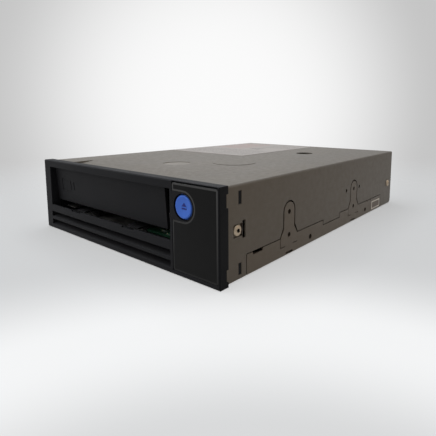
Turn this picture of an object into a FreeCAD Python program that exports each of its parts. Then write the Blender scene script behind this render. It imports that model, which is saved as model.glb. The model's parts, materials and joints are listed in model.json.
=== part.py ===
import FreeCAD, Part

import math
import os

import Sketcher

os.makedirs("parts", exist_ok=True)
Vector = FreeCAD.Vector
doc = FreeCAD.newDocument("TapeDrive")

# ---------------------------------------------------------------------------
# Driving dimensions, in millimetres.  Depths named *_y are counted from the
# plane where the bezel meets the body, heights named *_z from the foot of the
# bezel.  The drive is a 5.25 inch half-height internal unit: the body size and
# the screw pattern are those of that form factor.
# ---------------------------------------------------------------------------
DIMENSIONS = (
    # overall
    ("body_width", 146.0), ("body_height", 41.3), ("body_length", 200.2),
    ("bezel_width", 148.3), ("bezel_height", 42.4), ("bezel_depth", 5.4),
    ("port_reach", 4.9),
    # sheet metal
    ("cover_gauge", 0.8), ("base_gauge", 1.2), ("sheet_gap", 0.45), ("front_gap", 0.15),
    ("tail_round", 3.0),
    ("seam_z", 10.1), ("cover_nose", 12.9), ("cover_tail", 177.3),
    ("step_one_y", 83.8), ("step_one_run", 22.4),
    ("step_one_z", 7.0), ("strip_left", 52.0), ("strip_right", 45.0), ("strip_flat", 7.5),
    ("strip_end", 15.0), ("strip_drop", 1.0), ("disc_x", 0.3), ("disc_y", 37.6),
    ("disc_radius", 8.0), ("disc_depth", 0.25), ("boss_x", 24.0), ("boss_y", 62.0),
    ("boss_radius", 13.0), ("boss_height", 0.2), ("peephole_x", 27.0), ("peephole_y", 140.0),
    ("peephole_radius", 6.2), ("sight_hole", 1.15), ("access_hole", 1.45),
    ("vent_pitch", 10.0), ("vent_half", 3.5), ("vent_foot", 18.0),
    ("vent_rise", 6.0), ("vent_tall", 2.0),
    # screw pattern of the form factor
    ("mount_first", 47.4), ("mount_pitch", 79.25), ("mount_low", 10.0), ("mount_rise", 11.84),
    ("mount_span", 139.7), ("mount_hole", 1.25), ("collar_radius", 2.4), ("collar_depth", 1.5),
    ("floor_collar", 2.85),
    # side tabs of the base
    ("tab_gap", 0.85), ("tab_half", 4.7), ("tab_top", 27.4), ("tab_flare", 3.2),
    ("tab_shoulder", 14.3),
    ("slit_z", 5.2), ("slit_width", 0.4), ("slit_run", 4.3),
    # cover screws
    ("cover_screw_y", 7.2), ("cover_screw_z", 22.1), ("rear_screw_y", 191.9),
    ("rear_screw_z", 17.2), ("screw_head", 2.55), ("screw_head_tall", 1.0),
    ("screw_shank", 1.45), ("screw_clear", 0.2), ("screw_reach", 2.5),
    ("dimple_half_y", 2.9), ("dimple_half_z", 2.8),
    ("dimple_depth", 0.7),
    # snap hooks
    ("hook_y", 7.6), ("hook_long", 2.0), ("hook_top_z", 33.2), ("hook_top_tall", 5.8),
    ("hook_low_z", 2.3), ("hook_low_tall", 5.3), ("hook_arm", 1.1), ("hook_clear", 0.25),
    # bezel
    ("slot_left", 66.8), ("slot_right", 44.7), ("slot_foot", 15.0), ("slot_head", 38.5),
    ("bar_wall", 2.2), ("louver_left", 67.4), ("louver_right", 44.4), ("louver_foot", 2.5),
    ("louver_open", 3.4), ("louver_pitch", 4.95), ("louver_rise", 2.5), ("sill_notch", 0.8),
    ("sill_lip", 1.0), ("sill_drop", 2.2),
    ("notch_width", 10.0), ("notch_one_x", 38.0), ("notch_two_x", 12.4), ("edge_bevel", 0.5),
    ("side_notch", 1.3),
    # control panel
    ("panel_left", 45.55), ("panel_right", 73.85), ("panel_foot", 1.5), ("panel_head", 42.0),
    ("panel_rim", 0.5), ("panel_recess", 0.5), ("overlay_thick", 0.3), ("panel_corner", 1.2),
    ("button_x", 53.2), ("button_z", 31.4), ("button_radius", 5.15), ("button_gap", 0.75),
    ("button_collar", 1.35), ("button_travel", 0.6), ("button_body", 2.7), ("button_flange", 1.0),
    ("button_stem", 0.6), ("stem_radius", 2.0), ("icon_depth", 0.25), ("spring_radius", 4.2),
    ("spring_wire", 0.25), ("island_land", 1.1), ("panel_room", 0.75), ("board_edge", 2.05),
    ("brow_groove", 0.6), ("brow_deep", 1.8), ("room_edge", 3.45),
    ("board_thick", 1.2), ("panel_board_y", 1.0), ("switch_half", 1.9), ("switch_tall", 0.9),
    ("plunger_radius", 0.9), ("press_gap", 0.1),
    ("lamp_x", 65.0), ("lamp_z", 9.0), ("lamp_pitch", 3.2), ("lamp_half", 0.9),
    ("guide_half_x", 3.0), ("guide_clear", 0.15), ("guide_plate", 0.8),
    # door
    ("door_left", 66.3), ("door_right", 37.8), ("door_pivot_y", 1.7), ("door_pivot_z", 39.0),
    ("door_drop", 21.25), ("door_thick", 1.6), ("door_lean", 3.93), ("pin_radius", 0.9),
    ("fit_gap", 0.05), ("door_ear_x", 42.4), ("door_ear", 1.2), ("left_pin", 1.5),
    ("hinge_coil", 1.2), ("hinge_wire", 0.2), ("ear_drop", 2.2), ("arrow_gap", 2.5),
    ("arrow_long", 3.5), ("arrow_inset", 1.2),
    ("mark_depth", 0.2), ("mark_x", 59.5), ("mark_z", 14.5), ("mark_width", 11.0),
    ("mark_height", 7.5), ("mark_line", 0.9),
    # cartridge path
    ("cartridge_width", 102.5), ("cartridge_x", 14.25), ("path_floor", 15.0), ("path_roof", 37.4),
    ("tray_front", 24.0), ("tray_rear", 85.0), ("tray_wall", 1.0), ("tray_shelf", 5.5),
    ("tray_travel", 24.0), ("tray_drop", 3.0), ("tray_stop", 20.0), ("guide_front", 0.6),
    ("guide_rear", 22.5), ("guide_wall", 3.4), ("guide_foot", 10.5), ("guide_step", 17.0),
    ("path_clear", 0.35), ("door_room", 0.4), ("guide_ledge", 3.5), ("reader_shelf", 10.0),
    ("reader_width", 18.0), ("reader_drop", 2.6), ("finger_foot", 14.25), ("finger_top", 14.9),
    ("finger_reach", 2.4), ("finger_leg", 6.5), ("finger_rear", 9.0), ("leaf_thick", 0.4),
    ("tray_pin", 1.5),
    ("tray_pin_z", 31.0), ("tray_pin_one", 34.0), ("tray_pin_two", 76.0), ("pin_gap", 0.08),
    ("rail_gap", 0.4), ("rail_thick", 1.3), ("rail_rear", 112.0), ("rail_head", 36.0),
    # deck
    ("deck_z", 9.0), ("deck_thick", 1.5), ("deck_half", 69.9), ("deck_front", 4.0),
    ("deck_rear", 196.0), ("post_radius", 3.0), ("post_x", 66.0), ("post_one_y", 20.0),
    ("post_two_y", 112.0), ("post_three_y", 184.0), ("deck_screw_head", 2.4),
    ("deck_screw_shank", 1.2), ("ear_thick", 1.2), ("ear_long", 8.4), ("ear_rise", 4.0),
    ("ear_gap", 0.1),
    # main board
    ("board_z", 4.2), ("main_thick", 1.6), ("board_half", 69.2), ("board_front", 30.0),
    ("board_rear", 196.5), ("standoff_x", 52.0), ("standoff_one", 36.0), ("standoff_two", 178.0),
    ("standoff_radius", 2.6), ("board_screw_tall", 1.0), ("capacitor_radius", 2.5),
    ("capacitor_tall", 2.6), ("flex_left", 54.0), ("flex_right", 62.0), ("flex_thick", 0.3),
    ("flex_drop", 1.0), ("flex_start", 9.0),
    # drive hub and take-up reel
    ("hub_y", 56.0), ("hub_motor", 28.0), ("hub_rotor", 25.0), ("stator_thick", 1.6),
    ("rotor_thick", 2.7), ("motor_gap", 0.3), ("spindle", 2.5), ("clutch_outer", 16.0),
    ("clutch_inner", 9.0), ("clutch_tall", 1.8), ("tooth_deep", 0.7),
    ("reel_x", 26.0), ("reel_y", 152.0), ("reel_radius", 38.0), ("reel_hub", 22.0),
    ("reel_flange", 1.2), ("tape_width", 13.2), ("reel_foot", 13.0), ("reel_motor", 24.0),
    ("reel_rotor", 20.5),
    # guide rollers
    ("roller_radius", 6.0), ("roller_lip", 7.5), ("roller_lip_thick", 0.8), ("roller_pin", 2.0),
    ("roller_foot", 13.2), ("roller_tall", 15.1), ("roller_collar", 3.2), ("collar_gap", 0.2),
    ("pin_above", 0.6),
    # head
    ("head_x", 30.0), ("head_y", 139.0), ("head_base", 1.5), ("head_motor", 6.0),
    ("head_motor_tall", 5.0), ("screw_radius", 1.5), ("head_top", 30.5), ("rod_x", 25.0),
    ("rod_offset", 6.5), ("rod_radius", 1.5), ("carriage_z", 19.5), ("carriage_tall", 6.0),
    ("head_face_x", 49.8), ("head_block", 9.6), ("head_foot", 14.2), ("head_crown", 28.5),
    ("head_half", 5.0), ("carriage_half", 9.5),
    # threader
    ("arm_x", 45.8), ("arm_y", 163.9), ("arm_reach", 51.2), ("arm_z", 31.5), ("arm_thick", 1.5),
    ("arm_half", 4.0), ("grab_foot", 16.5), ("grab_half", 2.8), ("arm_post", 2.5),
    ("gear_thick", 1.8), ("gear_module", 1.0), ("arm_teeth", 24), ("arm_pinion_teeth", 12),
    ("arm_rest", -96.5), ("arm_mesh", 45.0), ("arm_tail", 5.0),
    ("arm_taper", 1.0), ("post_collar", 3.6), ("shaft_radius", 1.0), ("arm_motor", 6.0),
    # loader
    ("rack_x", 42.0), ("rack_plate", 1.5), ("rack_head", 34.0), ("rack_gap", 0.3),
    ("rack_tooth_tall", 5.0), ("pinion_teeth", 16), ("wheel_teeth", 20), ("motor_teeth", 10),
    ("pinion_y", 62.0), ("wheel_z", 18.0), ("wheel_thick", 4.0), ("loader_plate", 1.2),
    ("loader_motor", 6.8), ("loader_motor_tall", 14.0), ("gear_pin", 1.5), ("gear_neck", 4.5),
    ("gear_clear", 0.5), ("wheel_room", 0.4), ("rack_teeth", 12), ("loader_post", 2.0),
    # rear connectors, labels
    ("port_half", 21.5), ("port_tall", 5.6), ("port_depth", 12.0), ("service_x", 42.0),
    ("service_half", 7.5), ("service_tall", 4.2), ("label_thick", 0.12), ("label_left", 70.0),
    ("label_right", 3.0), ("label_front", 94.0), ("label_rear", 195.0), ("sticker_front", 159.3),
    ("sticker_rear", 175.6), ("sticker_foot", 1.7), ("sticker_head", 7.8),
)


class Size:
    """A length that carries both its number and the sheet expression behind it."""

    def __init__(self, value, text):
        self.value = float(value)
        self.text = text

    def __add__(self, other):
        other = size(other)
        return Size(self.value + other.value, f"({self.text} + {other.text})")

    def __sub__(self, other):
        other = size(other)
        return Size(self.value - other.value, f"({self.text} - {other.text})")

    def __mul__(self, other):
        other = size(other)
        return Size(self.value * other.value, f"({self.text} * {other.text})")

    def __truediv__(self, other):
        other = size(other)
        return Size(self.value / other.value, f"({self.text} / {other.text})")

    def __neg__(self):
        return Size(-self.value, f"(0 - {self.text})")

    def __radd__(self, other):
        return size(other) + self

    def __rsub__(self, other):
        return size(other) - self

    def __rmul__(self, other):
        return size(other) * self


def size(value):
    return value if isinstance(value, Size) else Size(value, f"({float(value):.6f})")


class Sheet:
    """The spreadsheet, read as attributes: S.body_width is the size in that cell."""

    def __init__(self):
        cells = doc.addObject("Spreadsheet::Sheet", "Sizes")
        for row, (alias, value) in enumerate(DIMENSIONS, start=1):
            cells.set(f"A{row}", alias.replace("_", " "))
            cells.set(f"B{row}", str(value))
            cells.setAlias(f"B{row}", alias)
            setattr(self, alias, Size(value, f"Sizes.{alias}"))


S = Sheet()
doc.recompute()
NODES = []

# Planes that most pieces are placed from.
TOTAL = S.bezel_depth + S.body_length + S.port_reach
FRONT = -TOTAL / 2
DATUM = FRONT + S.bezel_depth
SIDE = S.body_width / 2
FOOT = (S.bezel_height - S.body_height) / 2
TOP = FOOT + S.body_height
ROOF = TOP - S.cover_gauge
FLOOR = FOOT + S.base_gauge
REAR = DATUM + S.body_length
DECK_TOP = S.deck_z + S.deck_thick
INNER = SIDE - S.cover_gauge


def depth(value):
    """A place along the drive, counted from the plane behind the bezel."""
    return DATUM + value


# ---------------------------------------------------------------------------
# Small modelling vocabulary.
# ---------------------------------------------------------------------------
def bind(obj, **sizes):
    for name, value in sizes.items():
        obj.setExpression(name.replace("__", "."), size(value).text)


def place(obj, x, y, z):
    bind(obj, Placement__Base__x=x, Placement__Base__y=y, Placement__Base__z=z)


def box(x0, x1, y0, y1, z0, z1):
    solid = doc.addObject("Part::Box", "Block")
    place(solid, x0, y0, z0)
    bind(solid, Length=size(x1) - x0, Width=size(y1) - y0, Height=size(z1) - z0)
    return solid


AXIS_TURN = {
    "x": FreeCAD.Rotation(Vector(0, 1, 0), 90),
    "y": FreeCAD.Rotation(Vector(1, 0, 0), -90),
    "z": FreeCAD.Rotation(),
}


def rod(axis, x, y, z, radius, length):
    """A cylinder that starts at (x, y, z) and runs along +axis."""
    solid = doc.addObject("Part::Cylinder", "Rod")
    solid.Placement = FreeCAD.Placement(Vector(), AXIS_TURN[axis])
    place(solid, x, y, z)
    bind(solid, Radius=radius, Height=length)
    return solid


def fuse(*solids):
    if len(solids) == 1:
        return solids[0]
    joined = doc.addObject("Part::MultiFuse", "Joined")
    joined.Shapes = list(solids)
    return joined


def cut(base, *tools):
    made = doc.addObject("Part::Cut", "Cut")
    made.Base = base
    made.Tool = fuse(*tools)
    return made


def group(*solids):
    bundle = doc.addObject("Part::Compound", "Group")
    bundle.Links = list(solids)
    return bundle


def outline(sketch, loops):
    """Draws closed loops: a list of points, or a (u, v, radius) circle."""
    for loop in loops:
        if isinstance(loop, tuple):
            u, v, radius = (size(value) for value in loop)
            centre = Vector(u.value, v.value, 0)
            edge = sketch.addGeometry(Part.Circle(centre, Vector(0, 0, 1), radius.value))
            datums = (("DistanceX", 3, u), ("DistanceY", 3, v))
            number = sketch.addConstraint(Sketcher.Constraint("Radius", edge, radius.value))
            sketch.setExpression(f"Constraints[{number}]", radius.text)
            pin_point(sketch, edge, datums)
            continue
        points = [(size(u), size(v)) for u, v in loop]
        edges = []
        for start, end in zip(points, points[1:] + points[:1]):
            line = Part.LineSegment(
                Vector(start[0].value, start[1].value, 0), Vector(end[0].value, end[1].value, 0))
            edges.append(sketch.addGeometry(line))
        for edge, following in zip(edges, edges[1:] + edges[:1]):
            sketch.addConstraint(Sketcher.Constraint("Coincident", edge, 2, following, 1))
        for edge, (u, v) in zip(edges, points):
            pin_point(sketch, edge, (("DistanceX", 1, u), ("DistanceY", 1, v)))


def pin_point(sketch, edge, datums):
    for kind, point, value in datums:
        rule = Sketcher.Constraint(kind, -1, 1, edge, point, value.value)
        number = sketch.addConstraint(rule)
        sketch.setExpression(f"Constraints[{number}]", value.text)


def rect(u0, u1, v0, v1):
    return [(u0, v0), (u1, v0), (u1, v1), (u0, v1)]


PRISM = {
    "x": (FreeCAD.Rotation(Vector(1, 1, 1), 120), Vector(1, 0, 0)),
    "y": (FreeCAD.Rotation(Vector(1, 0, 0), 90), Vector(0, 1, 0)),
    "z": (FreeCAD.Rotation(), Vector(0, 0, 1)),
}


def prism(axis, low, high, *loops):
    """An outline in the plane across axis, extruded from low to high."""
    turn, direction = PRISM[axis]
    sketch = doc.addObject("Sketcher::SketchObject", "Outline")
    sketch.Placement = FreeCAD.Placement(Vector(), turn)
    bind(sketch, **{f"Placement__Base__{axis}": low})
    outline(sketch, loops)
    solid = doc.addObject("Part::Extrusion", "Prism")
    solid.Base = sketch
    solid.DirMode = "Custom"
    solid.Dir = direction
    solid.Solid = True
    bind(solid, LengthFwd=size(high) - low)
    return solid


class Body:
    """A PartDesign body with the few features these pieces are made with."""

    PLANES = {"x": "YZ_Plane", "y": "XZ_Plane", "z": "XY_Plane"}

    def __init__(self, x=0, y=0, z=0, turn=0.0, about=Vector(0, 0, 1)):
        self.body = doc.addObject("PartDesign::Body", "Body")
        self.body.Placement = FreeCAD.Placement(Vector(), FreeCAD.Rotation(about, turn))
        place(self.body, x, y, z)

    def origin(self, role):
        return [item for item in self.body.Origin.OriginFeatures if item.Role == role][0]

    def sketch(self, axis, level, loops):
        sketch = self.body.newObject("Sketcher::SketchObject", "Sketch")
        sketch.AttachmentSupport = [(self.origin(self.PLANES[axis]), "")]
        sketch.MapMode = "FlatFace"
        bind(sketch, AttachmentOffset__Base__z=-size(level) if axis == "y" else level)
        outline(sketch, loops)
        return sketch

    def pad(self, axis, low, high, *loops):
        feature = self.body.newObject("PartDesign::Pad", "Pad")
        feature.Profile = self.sketch(axis, low, loops)
        feature.Reversed = axis == "y"
        bind(feature, Length=size(high) - low)
        doc.recompute()
        return feature

    def pocket(self, axis, low, high, *loops):
        before = self.body.Shape.Volume
        feature = self.body.newObject("PartDesign::Pocket", "Pocket")
        feature.Profile = self.sketch(axis, low if axis == "y" else high, loops)
        bind(feature, Length=size(high) - low)
        doc.recompute()
        if self.body.Shape.Volume >= before:
            raise RuntimeError("a pocket cut nothing")
        return feature

    def turned(self, *loops):
        """A profile of (radius, height) points turned about the body's own Z axis."""
        feature = self.body.newObject("PartDesign::Revolution", "Turned")
        sketch = self.sketch("y", 0, loops)
        feature.Profile = sketch
        feature.ReferenceAxis = (sketch, ["V_Axis"])
        feature.Angle = 360
        doc.recompute()
        return feature

    def around(self, feature, count):
        pattern = self.body.newObject("PartDesign::PolarPattern", "Around")
        pattern.Originals = [feature]
        pattern.Axis = (self.origin("Z_Axis"), [""])
        pattern.Angle = 360
        pattern.Occurrences = int(count.value)
        bind(pattern, Occurrences=count)
        self.body.Tip = pattern
        doc.recompute()

    def round_edges(self, kind, radius, test):
        """A Fillet or Chamfer on every edge whose middle passes test."""
        doc.recompute()
        names = [f"Edge{number}" for number, edge in enumerate(self.body.Shape.Edges, start=1)
                 if test(edge)]
        base = self.body.Tip
        feature = self.body.newObject(f"PartDesign::{kind}", kind)
        feature.Base = (base, names)
        bind(feature, **{"Radius" if kind == "Fillet" else "Size": radius})
        self.body.Tip = feature
        doc.recompute()


def node(obj, label):
    """Names a finished piece and puts it on the list of files."""
    piece = obj.body if isinstance(obj, Body) else obj
    piece.Label = label
    NODES.append(piece)
    return piece


def flanks(x0, x1, y0, y1, z0, z1):
    """The same block on the right and, mirrored, on the left."""
    return [box(x0, x1, y0, y1, z0, z1), box(-size(x1), -size(x0), y0, y1, z0, z1)]


def side_rods(x0, x1, y, z, radius):
    return [rod("x", x0, y, z, radius, size(x1) - x0),
            rod("x", -size(x1), y, z, radius, size(x1) - x0)]


# ---------------------------------------------------------------------------
# Sheet metal: the base, the cover over it and the rear panel.
# ---------------------------------------------------------------------------
MOUNT_Y = [depth(S.mount_first), depth(S.mount_first + S.mount_pitch)]
MOUNT_Z = [FOOT + S.mount_low, FOOT + S.mount_low + S.mount_rise]
HOOKS = [(S.hook_low_z, S.hook_low_tall), (S.hook_top_z, S.hook_top_tall)]
SCREWS = [(depth(S.cover_screw_y), S.cover_screw_z), (depth(S.rear_screw_y), S.rear_screw_z)]
DECK_POSTS = [depth(S.post_one_y), depth(S.post_two_y), depth(S.post_three_y)]
STANDOFFS = [depth(S.standoff_one), depth(S.standoff_two)]
PAST = 3.0  # how far a cutting tool reaches past the face it cuts


def tab_outline(y, grow):
    """A side tab: flared root, straight flanks; its round head is added as a rod."""
    half = S.tab_half + grow
    root = S.seam_z - S.sheet_gap
    return [(y - half - S.tab_flare, root), (y - half, S.tab_shoulder + grow),
            (y - half, S.tab_top - S.tab_half), (y + half, S.tab_top - S.tab_half),
            (y + half, S.tab_shoulder + grow), (y + half + S.tab_flare, root)]


def tabs(x0, x1, grow):
    made = []
    for y in MOUNT_Y:
        made.append(prism("x", x0, x1, tab_outline(y, grow)))
        head = S.tab_top - S.tab_half
        made.append(rod("x", x0, y, head, S.tab_half + grow, size(x1) - x0))
    return made


def base_chassis():
    wall = SIDE - S.base_gauge
    wall_front = depth(S.cover_nose + S.sheet_gap)
    wall_rear = depth(S.cover_tail - S.sheet_gap)
    rim = S.seam_z - S.sheet_gap / 2
    narrow = INNER - S.front_gap
    solids = [box(-narrow, narrow, depth(S.front_gap), REAR, FOOT, FLOOR),
              box(-SIDE, SIDE, wall_front, wall_rear, FOOT, FLOOR)]
    solids += flanks(wall, SIDE, wall_front, wall_rear, FOOT, rim)
    solids += tabs(wall, SIDE, 0) + tabs(-SIDE, -wall, 0)
    for y in MOUNT_Y:
        for z in MOUNT_Z:
            solids += side_rods(wall - S.collar_depth, wall, y, z, S.collar_radius)
        for side in (-1, 1):
            x = side * S.mount_span / 2
            solids.append(rod("z", x, y, FOOT, S.collar_radius, S.floor_collar))
    for side in (-1, 1):
        for y in DECK_POSTS:
            solids.append(rod("z", side * S.post_x, y, FOOT, S.post_radius, S.deck_z - FOOT))
        for y in STANDOFFS:
            tall = S.board_z - FOOT
            solids.append(rod("z", side * S.standoff_x, y, FOOT, S.standoff_radius, tall))

    tools = []
    for y in MOUNT_Y:
        for z in MOUNT_Z:
            tools += side_rods(wall - PAST, SIDE + PAST, y, z, S.mount_hole)
        for side in (-1, 1):
            x = side * S.mount_span / 2
            tools.append(rod("z", x, y, FOOT - PAST, S.mount_hole, S.floor_collar + 2 * PAST))
        # the slits that free the foot of each tab
        near, far = y - S.tab_half - S.tab_flare, y + S.tab_half + S.tab_flare
        level = (S.slit_z - S.slit_width / 2, S.slit_z + S.slit_width / 2)
        tools += flanks(wall - PAST, SIDE + PAST, near, near + S.slit_run, *level)
        tools += flanks(wall - PAST, SIDE + PAST, far - S.slit_run, far, *level)
        tools += flanks(wall - PAST, SIDE + PAST, near, near + S.slit_width, level[0], rim + PAST)
    step = depth(S.step_one_y)
    tools += flanks(wall - PAST, SIDE + PAST, step, step + S.step_one_run, S.step_one_z,
                    rim + PAST)
    for y, long, low, high in SIDE_SLOTS:
        tools += flanks(wall - 0.1, SIDE + PAST, depth(y), depth(y + long), low, high)
    for y, z in SIDE_HOLES:
        tools += side_rods(wall - 0.1, SIDE + PAST, depth(y), z, S.access_hole)
    for side in (-1, 1):
        for y in DECK_POSTS:
            x = side * S.post_x
            tools.append(rod("z", x, y, FLOOR, S.deck_screw_shank, S.deck_z))
        for y in STANDOFFS:
            x = side * S.standoff_x
            tools.append(rod("z", x, y, FLOOR, S.deck_screw_shank, S.deck_z))
    return node(cut(fuse(*solids), *tools), "base_chassis")


# Small slots (start, length, low, high) and round holes (place, height) of the base wall.
SIDE_SLOTS = ((17.6, 7.4, 8.6, 11.0), (44.6, 6.3, 0.9, 1.9), (122.7, 7.0, 0.9, 1.9),
              (151.0, 0.9, 8.8, 11.0), (157.0, 0.9, 8.8, 11.0))
SIDE_HOLES = ((69.2, 4.0), (147.6, 4.1))
COVER_HOLES = ((115.0, 22.5), (135.6, 22.5))


def formed_strip():
    """The step pressed into the front of the cover's top."""
    low = ROOF - S.strip_drop
    start, flat, end = depth(S.front_gap), depth(S.strip_flat), depth(S.strip_end)
    gauge = S.cover_gauge
    left, right = -S.strip_left, S.strip_right
    plate = [(start, low), (flat, low), (end, ROOF), (end, TOP), (flat, low + gauge),
             (start, low + gauge)]
    web = [(start, low), (flat, low), (end, ROOF), (end, TOP), (start, TOP)]
    return [prism("x", left, right, plate), prism("x", left - gauge, left, web),
            prism("x", right, right + gauge, web)]


def top_cover():
    start, rear = depth(S.front_gap), REAR
    nose = depth(S.cover_nose)
    rim = S.seam_z + S.sheet_gap / 2
    shell = Body()
    shell.pad("y", start, rear, rect(-SIDE, SIDE, rim, TOP))
    shell.round_edges("Fillet", S.cover_gauge * 1.2, lambda edge: is_long(edge, "y", TOP.value))
    shell.pocket("y", start - 1, rear + 1, rect(-INNER, INNER, rim - 1, ROOF))
    solids = [shell.body]
    # in front of and behind the base wall the side reaches down to the foot
    solids += flanks(INNER, SIDE, start, nose, FOOT, rim + 1)
    for low, high in ((-SIDE, -INNER), (INNER, SIDE)):
        tail = Body()
        tail.pad("x", low, high, rect(depth(S.cover_tail), rear, FOOT, rim + 1))
        tail.round_edges("Fillet", S.tail_round, is_rear_foot)
        solids.append(tail.body)
    step, gap = depth(S.step_one_y), S.sheet_gap
    solids += flanks(INNER, SIDE, step + gap, step + S.step_one_run - gap, S.step_one_z + gap,
                     rim + 1)
    dimple = INNER - S.dimple_depth
    y, z = SCREWS[0]
    half_y, half_z = S.dimple_half_y + S.cover_gauge, S.dimple_half_z + S.cover_gauge
    solids += flanks(dimple, INNER, y - half_y, y + half_y, z - half_z, z + half_z)
    solids.append(rod("z", S.boss_x, depth(S.boss_y), TOP, S.boss_radius, S.boss_height))

    tools = tabs(INNER - PAST, SIDE + PAST, S.tab_gap)
    tools += tabs(-SIDE - PAST, -INNER + PAST, S.tab_gap)
    tools += flanks(SIDE - S.dimple_depth, SIDE + PAST, y - S.dimple_half_y, y + S.dimple_half_y,
                    z - S.dimple_half_z, z + S.dimple_half_z)
    lance = y + S.dimple_half_y + 0.1
    tools += flanks(dimple - PAST, SIDE + PAST, lance, lance + 2.1, z - 4.0, z + 3.8)
    for y, z in SCREWS:
        tools += side_rods(dimple - PAST, SIDE + PAST, y, z, S.screw_shank + S.screw_clear)
    for y, z in COVER_HOLES:
        tools += side_rods(INNER - PAST, SIDE + PAST, depth(y), z, S.sight_hole)
    for low, tall in HOOKS:
        hook = depth(S.hook_y)
        tools += flanks(INNER - PAST, SIDE + PAST, hook, hook + S.hook_long, low, low + tall)
    tools.append(rod("z", S.disc_x, depth(S.disc_y), TOP - S.disc_depth, S.disc_radius, PAST))
    tools.append(rod("z", S.peephole_x, depth(S.peephole_y), ROOF - PAST, S.peephole_radius,
                     S.cover_gauge + 2 * PAST))
    tools.append(box(-S.strip_left, S.strip_right, start - 1, depth(S.strip_end), ROOF - PAST,
                     TOP + PAST))
    sheet = cut(fuse(*solids), *tools)
    return node(fuse(sheet, *formed_strip()), "top_cover")


def is_rear_foot(edge):
    """Whether this is the cover's lower rear edge."""
    bounds = edge.BoundBox
    return (bounds.XLength > 0.1 and bounds.YMin > REAR.value - 0.1
            and bounds.ZMax < FOOT.value + 0.1)


def is_long(edge, axis, height):
    """True for a straight edge along axis at the given height."""
    bounds = edge.BoundBox
    spans = {"x": bounds.XLength, "y": bounds.YLength, "z": bounds.ZLength}
    across = [spans[name] for name in spans if name != axis]
    return spans[axis] > 10 and max(across) < 0.01 and abs(bounds.ZMax - height) < 0.01


def rear_panel():
    gap = S.front_gap
    wide = INNER - gap
    panel = Body()
    panel.pad("y", REAR - S.base_gauge, REAR, rect(-wide, wide, FLOOR + gap, ROOF - gap))
    low = S.board_z + S.main_thick - 0.1
    panel.pocket("y", REAR - PAST, REAR + 1,
                 rect(-S.port_half - gap, S.port_half + gap, low, low + S.port_tall + 2 * gap),
                 rect(S.service_x - S.service_half - gap, S.service_x + S.service_half + gap, low,
                      low + S.service_tall + 2 * gap))
    vents = []
    for column in range(12):
        x = S.vent_pitch * (column - 5.5)
        for row in range(3):
            z = S.vent_foot + S.vent_rise * row
            vents.append(rect(x - S.vent_half, x + S.vent_half, z, z + S.vent_tall))
    panel.pocket("y", REAR - PAST, REAR + 1, *vents)
    return node(panel, "rear_panel")


# ---------------------------------------------------------------------------
# Bezel, control panel and unload button.
# ---------------------------------------------------------------------------
PANEL_BOARD = DATUM + S.panel_board_y
WALL_BACK = FRONT + S.bar_wall
PANEL_BOSSES = ((50.5, 6.0), (67.0, 36.5))  # across, up
PANEL_ROOM = (S.panel_left + S.panel_room, S.panel_right - S.room_edge, 2.4, 40.0)


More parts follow.
